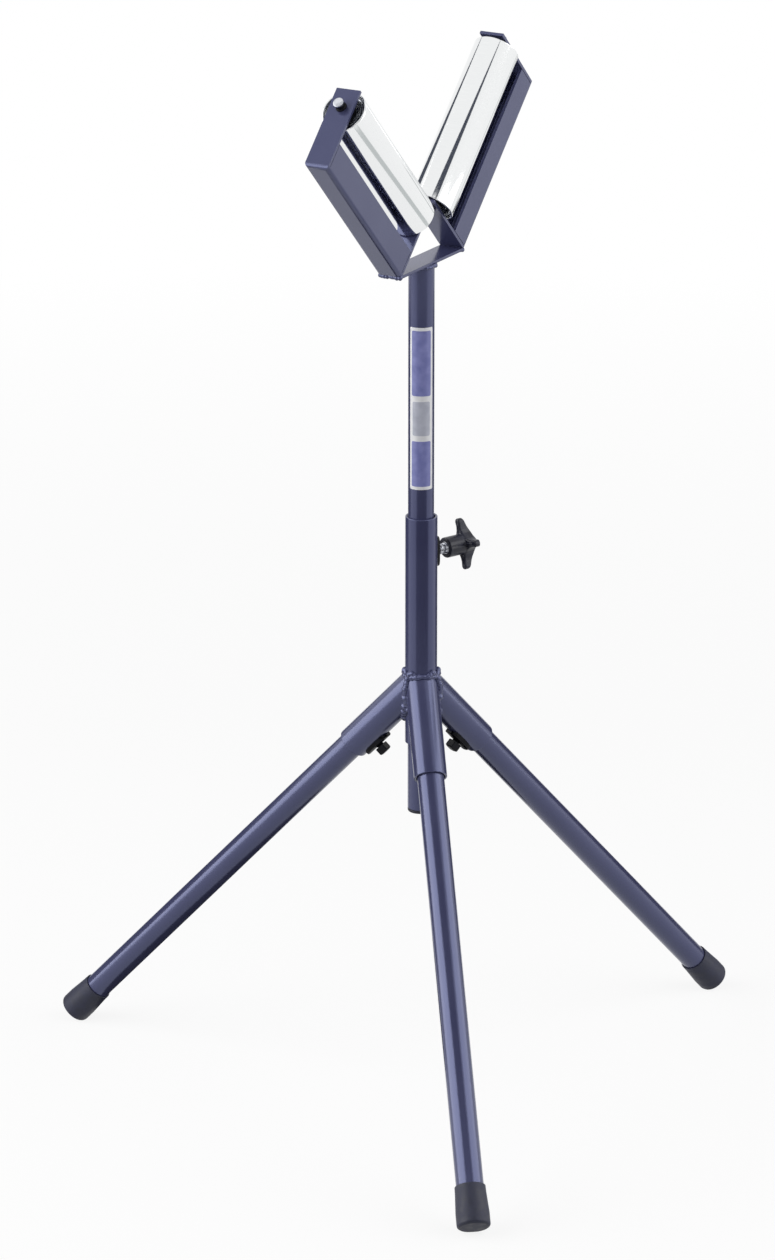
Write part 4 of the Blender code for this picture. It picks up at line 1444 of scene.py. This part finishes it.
# %% Weld beads on the head
MAST_BEAD = 2.4 * MM
BRACKET_BEAD = 2.6 * MM
MAST_SEAM_GAP = 0.6 * MM
seam_radius = mast.outer + MAST_SEAM_GAP
width_middle = (width_low + width_high) / 2
mast_seam = [mast_axis_point + seam_radius * bearing(math.radians(10 * step)) for step in range(36)]
seam_drop = (plate_box[0].z - mast_axis_point.z - MAST_BEAD / 2) * UP
welded("weld_mast_top", [spot + seam_drop for spot in mast_seam], "mast", MAST_BEAD, seed=31, closed=True)
for number, (side, sign) in enumerate((("left", -1), ("right", 1))):
    sideways = sign * (plate_half - BRACKET_BEAD / 3)
    corner = Vector((mast_axis_point.x + sideways, 0, plate_box[0].z + BRACKET_BEAD / 3))
    reach = (width_high - width_low) / 2 - BRACKET_BEAD / 2
    seam = [corner + Vector((0, width_middle + reach * (step / 4 - 1), 0)) for step in range(9)]
    welded(f"weld_bracket_{side}", seam, "mast", BRACKET_BEAD, seed=40 + number)

# %% [markdown]
# ## Rollers, bearings and axles
# A roller is a length of chromed tube with a pressed hub in each end. A sealed ball bearing sits in
# the hub, its inner ring stands on the axle, and a nut inside each tab keeps it there. The axle's
# ends are threaded and stand out of the tabs.

# %% Turned roller pieces
SHELL_WALL = 2.0 * MM
SHELL_LIP = 1.6 * MM
SHELL_BORE_EDGE = 0.5 * MM
HUB_RIM = 1.4 * MM
HUB_RIM_RISE = 2.5 * MM
HUB_GROOVE = 1.8 * MM
HUB_EDGE = 0.4 * MM
BEARING_FIT = 0.1 * MM
BEARING_SINK = 0.6 * MM
OUTER_RING_WALL = 2.2 * MM
INNER_RING_WALL = 2.0 * MM
RING_EDGE = 0.3 * MM
OUTER_RING_LIP = 0.5 * MM
INNER_RING_EDGE = 0.4 * MM
SEAL_DEPTH = 1.0 * MM
NUT_FLATS_HALF = 8.5 * MM
NUT_CHAMFER = 0.9 * MM


def roller_pieces(side):
    """A roller's chromed shell and what is in its two ends."""
    point, axis, matrix = rollers[side]
    node = f"roller_{side}"
    shell = measured(node, point, axis)
    shell = shell._replace(inner=shell.outer - SHELL_WALL)
    corners = (
        (shell.inner, shell.low, SHELL_BORE_EDGE),
        (shell.outer, shell.low, SHELL_LIP),
        (shell.outer, shell.high, SHELL_LIP),
        (shell.inner, shell.high, SHELL_BORE_EDGE),
    )
    keep(f"chromed_shell_{side}", turned(corners, matrix, LIP, sides=160), node, chrome, node)
    for end, inward in zip(ENDS, (1, -1)):
        keep_roller_end(side, end, inward, shell)


def ring_corners(inner, outer, face, depth, inward, edge):
    """Corners of a ring whose visible face is at one station; its depth runs inward."""
    back = face + inward * depth
    return ((inner, face, edge), (outer, face, edge), (outer, back), (inner, back))


def keep_roller_end(side, end, inward, shell):
    """The pressed hub, the bearing's rings and seal, and the nut at one end."""
    point, axis, matrix = rollers[side]
    spinning = f"roller_{side}"
    hub_span = measured(f"roller_hub_{side}_{end}", point, axis)
    outer_race = measured(f"bearing_outer_{side}_{end}", point, axis)
    inner_race = measured(f"bearing_inner_{side}_{end}", point, axis)
    nut = measured(f"axle_nut_{side}_{end}", point, axis)
    face = hub_span.low if inward > 0 else hub_span.high
    depth = hub_span.high - hub_span.low
    lip = face - inward * HUB_RIM_RISE
    collar = face - inward * BEARING_SINK
    bearing_radius = outer_race.outer + BEARING_FIT
    wall = shell.inner - BEARING_FIT
    groove = (wall + bearing_radius) / 2
    hub_corners = (
        (bearing_radius, collar),
        (bearing_radius + HUB_RIM, collar, 0.5 * MM),
        (groove, face + inward * HUB_GROOVE, 1.2 * MM),
        (wall - HUB_RIM, face, 0.8 * MM),
        (wall - HUB_RIM, lip, 0.5 * MM),
        (wall, lip),
        (wall, face + inward * depth),
        (bearing_radius, face + inward * depth),
    )
    # The pressed hub and the bearing's rings take the darker ground steel, whose grey is partly painted shade
    # for the roller's hollow end.
    mesh = turned(hub_corners, matrix, HUB_EDGE)
    keep(f"pressed_hub_{side}_{end}", mesh, spinning, steel, f"roller_hub_{side}_{end}")
    race_inner = outer_race.outer - OUTER_RING_WALL
    corners = ring_corners(race_inner, outer_race.outer, face, depth, inward, OUTER_RING_LIP)
    mesh = turned(corners, matrix, RING_EDGE)
    keep(f"outer_ring_{side}_{end}", mesh, spinning, steel, f"bearing_outer_{side}_{end}")
    inner_outer = inner_race.outer - INNER_RING_WALL
    seal_radii = (inner_outer + BEARING_FIT, race_inner - BEARING_FIT)
    corners = ring_corners(*seal_radii, face + inward * BEARING_SINK, SEAL_DEPTH, inward, RING_EDGE)
    keep(f"bearing_seal_{side}_{end}", turned(corners, matrix, RING_EDGE), spinning, seal_rubber)
    bore = nut.inner
    near = inner_race.low if inward > 0 else inner_race.high
    back = inner_race.high if inward > 0 else inner_race.low
    corners = ((bore, near), (inner_outer, near), (inner_outer, back), (bore, back))
    mesh = turned(corners, matrix, INNER_RING_EDGE, sides=64)
    keep(f"inner_ring_{side}_{end}", mesh, "mast", steel, f"bearing_inner_{side}_{end}")
    mesh = chamfered_nut(nut, matrix)
    keep(f"chamfered_nut_{side}_{end}", mesh, "mast", zinc, f"axle_nut_{side}_{end}")


def chamfered_nut(span, matrix):
    """A hexagon nut: a hexagonal bar, its corners turned off at both faces, bored through."""
    corner = NUT_FLATS_HALF / math.cos(math.pi / 6)
    hexagon = [(corner * math.cos(math.pi * k / 3), corner * math.sin(math.pi * k / 3)) for k in range(6)]
    bar = lofted([[(x, y, z) for x, y in hexagon] for z in (span.low, span.high)])
    turned_off = (
        (span.inner, span.low - NUT_CHAMFER),
        (NUT_FLATS_HALF, span.low),
        (corner + NUT_CHAMFER, span.low + NUT_CHAMFER),
        (corner + NUT_CHAMFER, span.high - NUT_CHAMFER),
        (NUT_FLATS_HALF, span.high),
        (span.inner, span.high + NUT_CHAMFER),
    )
    mesh = combined(bar, ("INTERSECT", revolved(turned_off, Matrix(), 72)))
    return placed(mesh, matrix)


# %% Axles with threaded ends
AXLE_PITCH = 1.5 * MM
THREAD_LENGTH = 14.0 * MM
THREAD_DEPTH = 0.8 * MM
THREAD_LIFT = 0.05 * MM
POINT_LENGTH = 1.6 * MM
POINT_EDGE = 0.4 * MM
AXLE_EDGE = 0.2 * MM

for side in ROLLERS:
    roller_pieces(side)
    point, axis, matrix = rollers[side]
    axle = measured(f"axle_{side}", point, axis)
    core = axle.outer - THREAD_DEPTH
    low_end = axle.low + THREAD_LENGTH
    high_end = axle.high - THREAD_LENGTH
    rod_corners = (
        (0, axle.low),
        (axle.outer, axle.low, POINT_EDGE),
        (axle.outer, axle.low + POINT_LENGTH),
        (core, axle.low + POINT_LENGTH),
        (core, low_end),
        (axle.outer, low_end),
        (axle.outer, high_end),
        (core, high_end),
        (core, axle.high - POINT_LENGTH),
        (axle.outer, axle.high - POINT_LENGTH),
        (axle.outer, axle.high, POINT_EDGE),
        (0, axle.high),
    )
    rod = turned(rod_corners, matrix, AXLE_EDGE, sides=64, closed=False)
    keep(f"turned_axle_{side}", rod, "mast", zinc, f"axle_{side}")
    stretches = ((axle.low + POINT_LENGTH, low_end), (high_end, axle.high - POINT_LENGTH))
    sizes = (core + THREAD_LIFT, THREAD_DEPTH, AXLE_PITCH, AXLE_EDGE)
    for end, (low, high) in zip(ENDS, stretches):
        # The threads take the near black finish as painted shade in their grooves; the rod under them is zinc
        # plated.
        rod = threaded_rod((low, high), (low, high - THREAD_DEPTH), *sizes, oxide_and_shade, matrix)
        keep(f"axle_thread_{side}_{end}", rod, "mast", oxide_and_shade)

# %% [markdown]
# ## Strips of paper for the chrome
# A chromed roller shows nothing but its surroundings, and on a white set it nearly vanishes. The
# photographer's cure is a few strips of paper beside it, which it mirrors as long lines; white ones
# also keep a lamp's glare off it. Four plain tones are enough. Each strip runs along a roller, with
# its edges where the roller mirrors them to the camera, at shares of the roller's width that change
# from its upper to its lower end. Here the strips are not lit but glow at their own tone: they are
# painted reflections in the chrome.

# %% Paper strips
PAPER_AWAY = 0.45
WHITE_PAPER = "#FFFFFF"
SILVER_PAPER = "#C8CCCC"
GREY_PAPER = "#989A9C"
SLATE_PAPER = "#4C505C"
papers = {}


def glowing_paper(hex_colour):
    """Paper of one tone that glows at that tone instead of being lit; only mirrors show it, as a painted
    reflection.
    """
    if hex_colour not in papers:
        material = bpy.data.materials.new(f"paper_{hex_colour[1:]}")
        material.use_nodes = True
        tree = material.node_tree
        tree.nodes.remove(tree.nodes["Principled BSDF"])
        glow = add_node(tree, "ShaderNodeEmission", {"Color": linear(hex_colour)})
        tree.links.new(glow.outputs[0], tree.nodes["Material Output"].inputs["Surface"])
        papers[hex_colour] = material
    return papers[hex_colour]


# One row for each strip: its name, its roller, its edges at the upper and the lower end, its tone.
strips = (
    ("shade", "left", (0.48, 0.58), (0.62, 0.70), SILVER_PAPER),
    ("rim", "left", (0.95, 0.96), (0.96, 0.97), GREY_PAPER),
    ("outer_line", "right", (0.10, 0.11), (0.02, 0.10), SLATE_PAPER),
    ("middle_line", "right", (0.50, 0.51), (0.42, 0.54), SLATE_PAPER),
    ("body", "right", (0.51, 0.74), (0.54, 0.74), WHITE_PAPER),
    ("side", "right", (0.74, 0.955), (0.74, 0.955), WHITE_PAPER),
    ("rim", "right", (0.955, 0.965), (0.955, 0.965), SILVER_PAPER),
)
# Each strip glows and paints a line of reflection into a roller's chrome, where the camera sees it mirrored.
for name, side, upper, lower, tone in strips:
    point, axis = rollers[side][:2]
    shell = measured(f"roller_{side}", point, axis)
    tube = (point, axis, shell.outer)
    ends = ((shell.high, *upper), (shell.low, *lower))
    mirrored_strip(f"paper_{side}_{name}", tube, *ends, PAPER_AWAY, glowing_paper(tone))
print("strips of paper:", len(strips))

# %% [markdown]
# ## The sizes
# The box of the imported model and the box of what is seen are kept side by side.

# %% Gather the sizes
sizes = {"cad": [list(corner) for corner in cad_box], "visual": [list(corner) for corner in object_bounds()]}
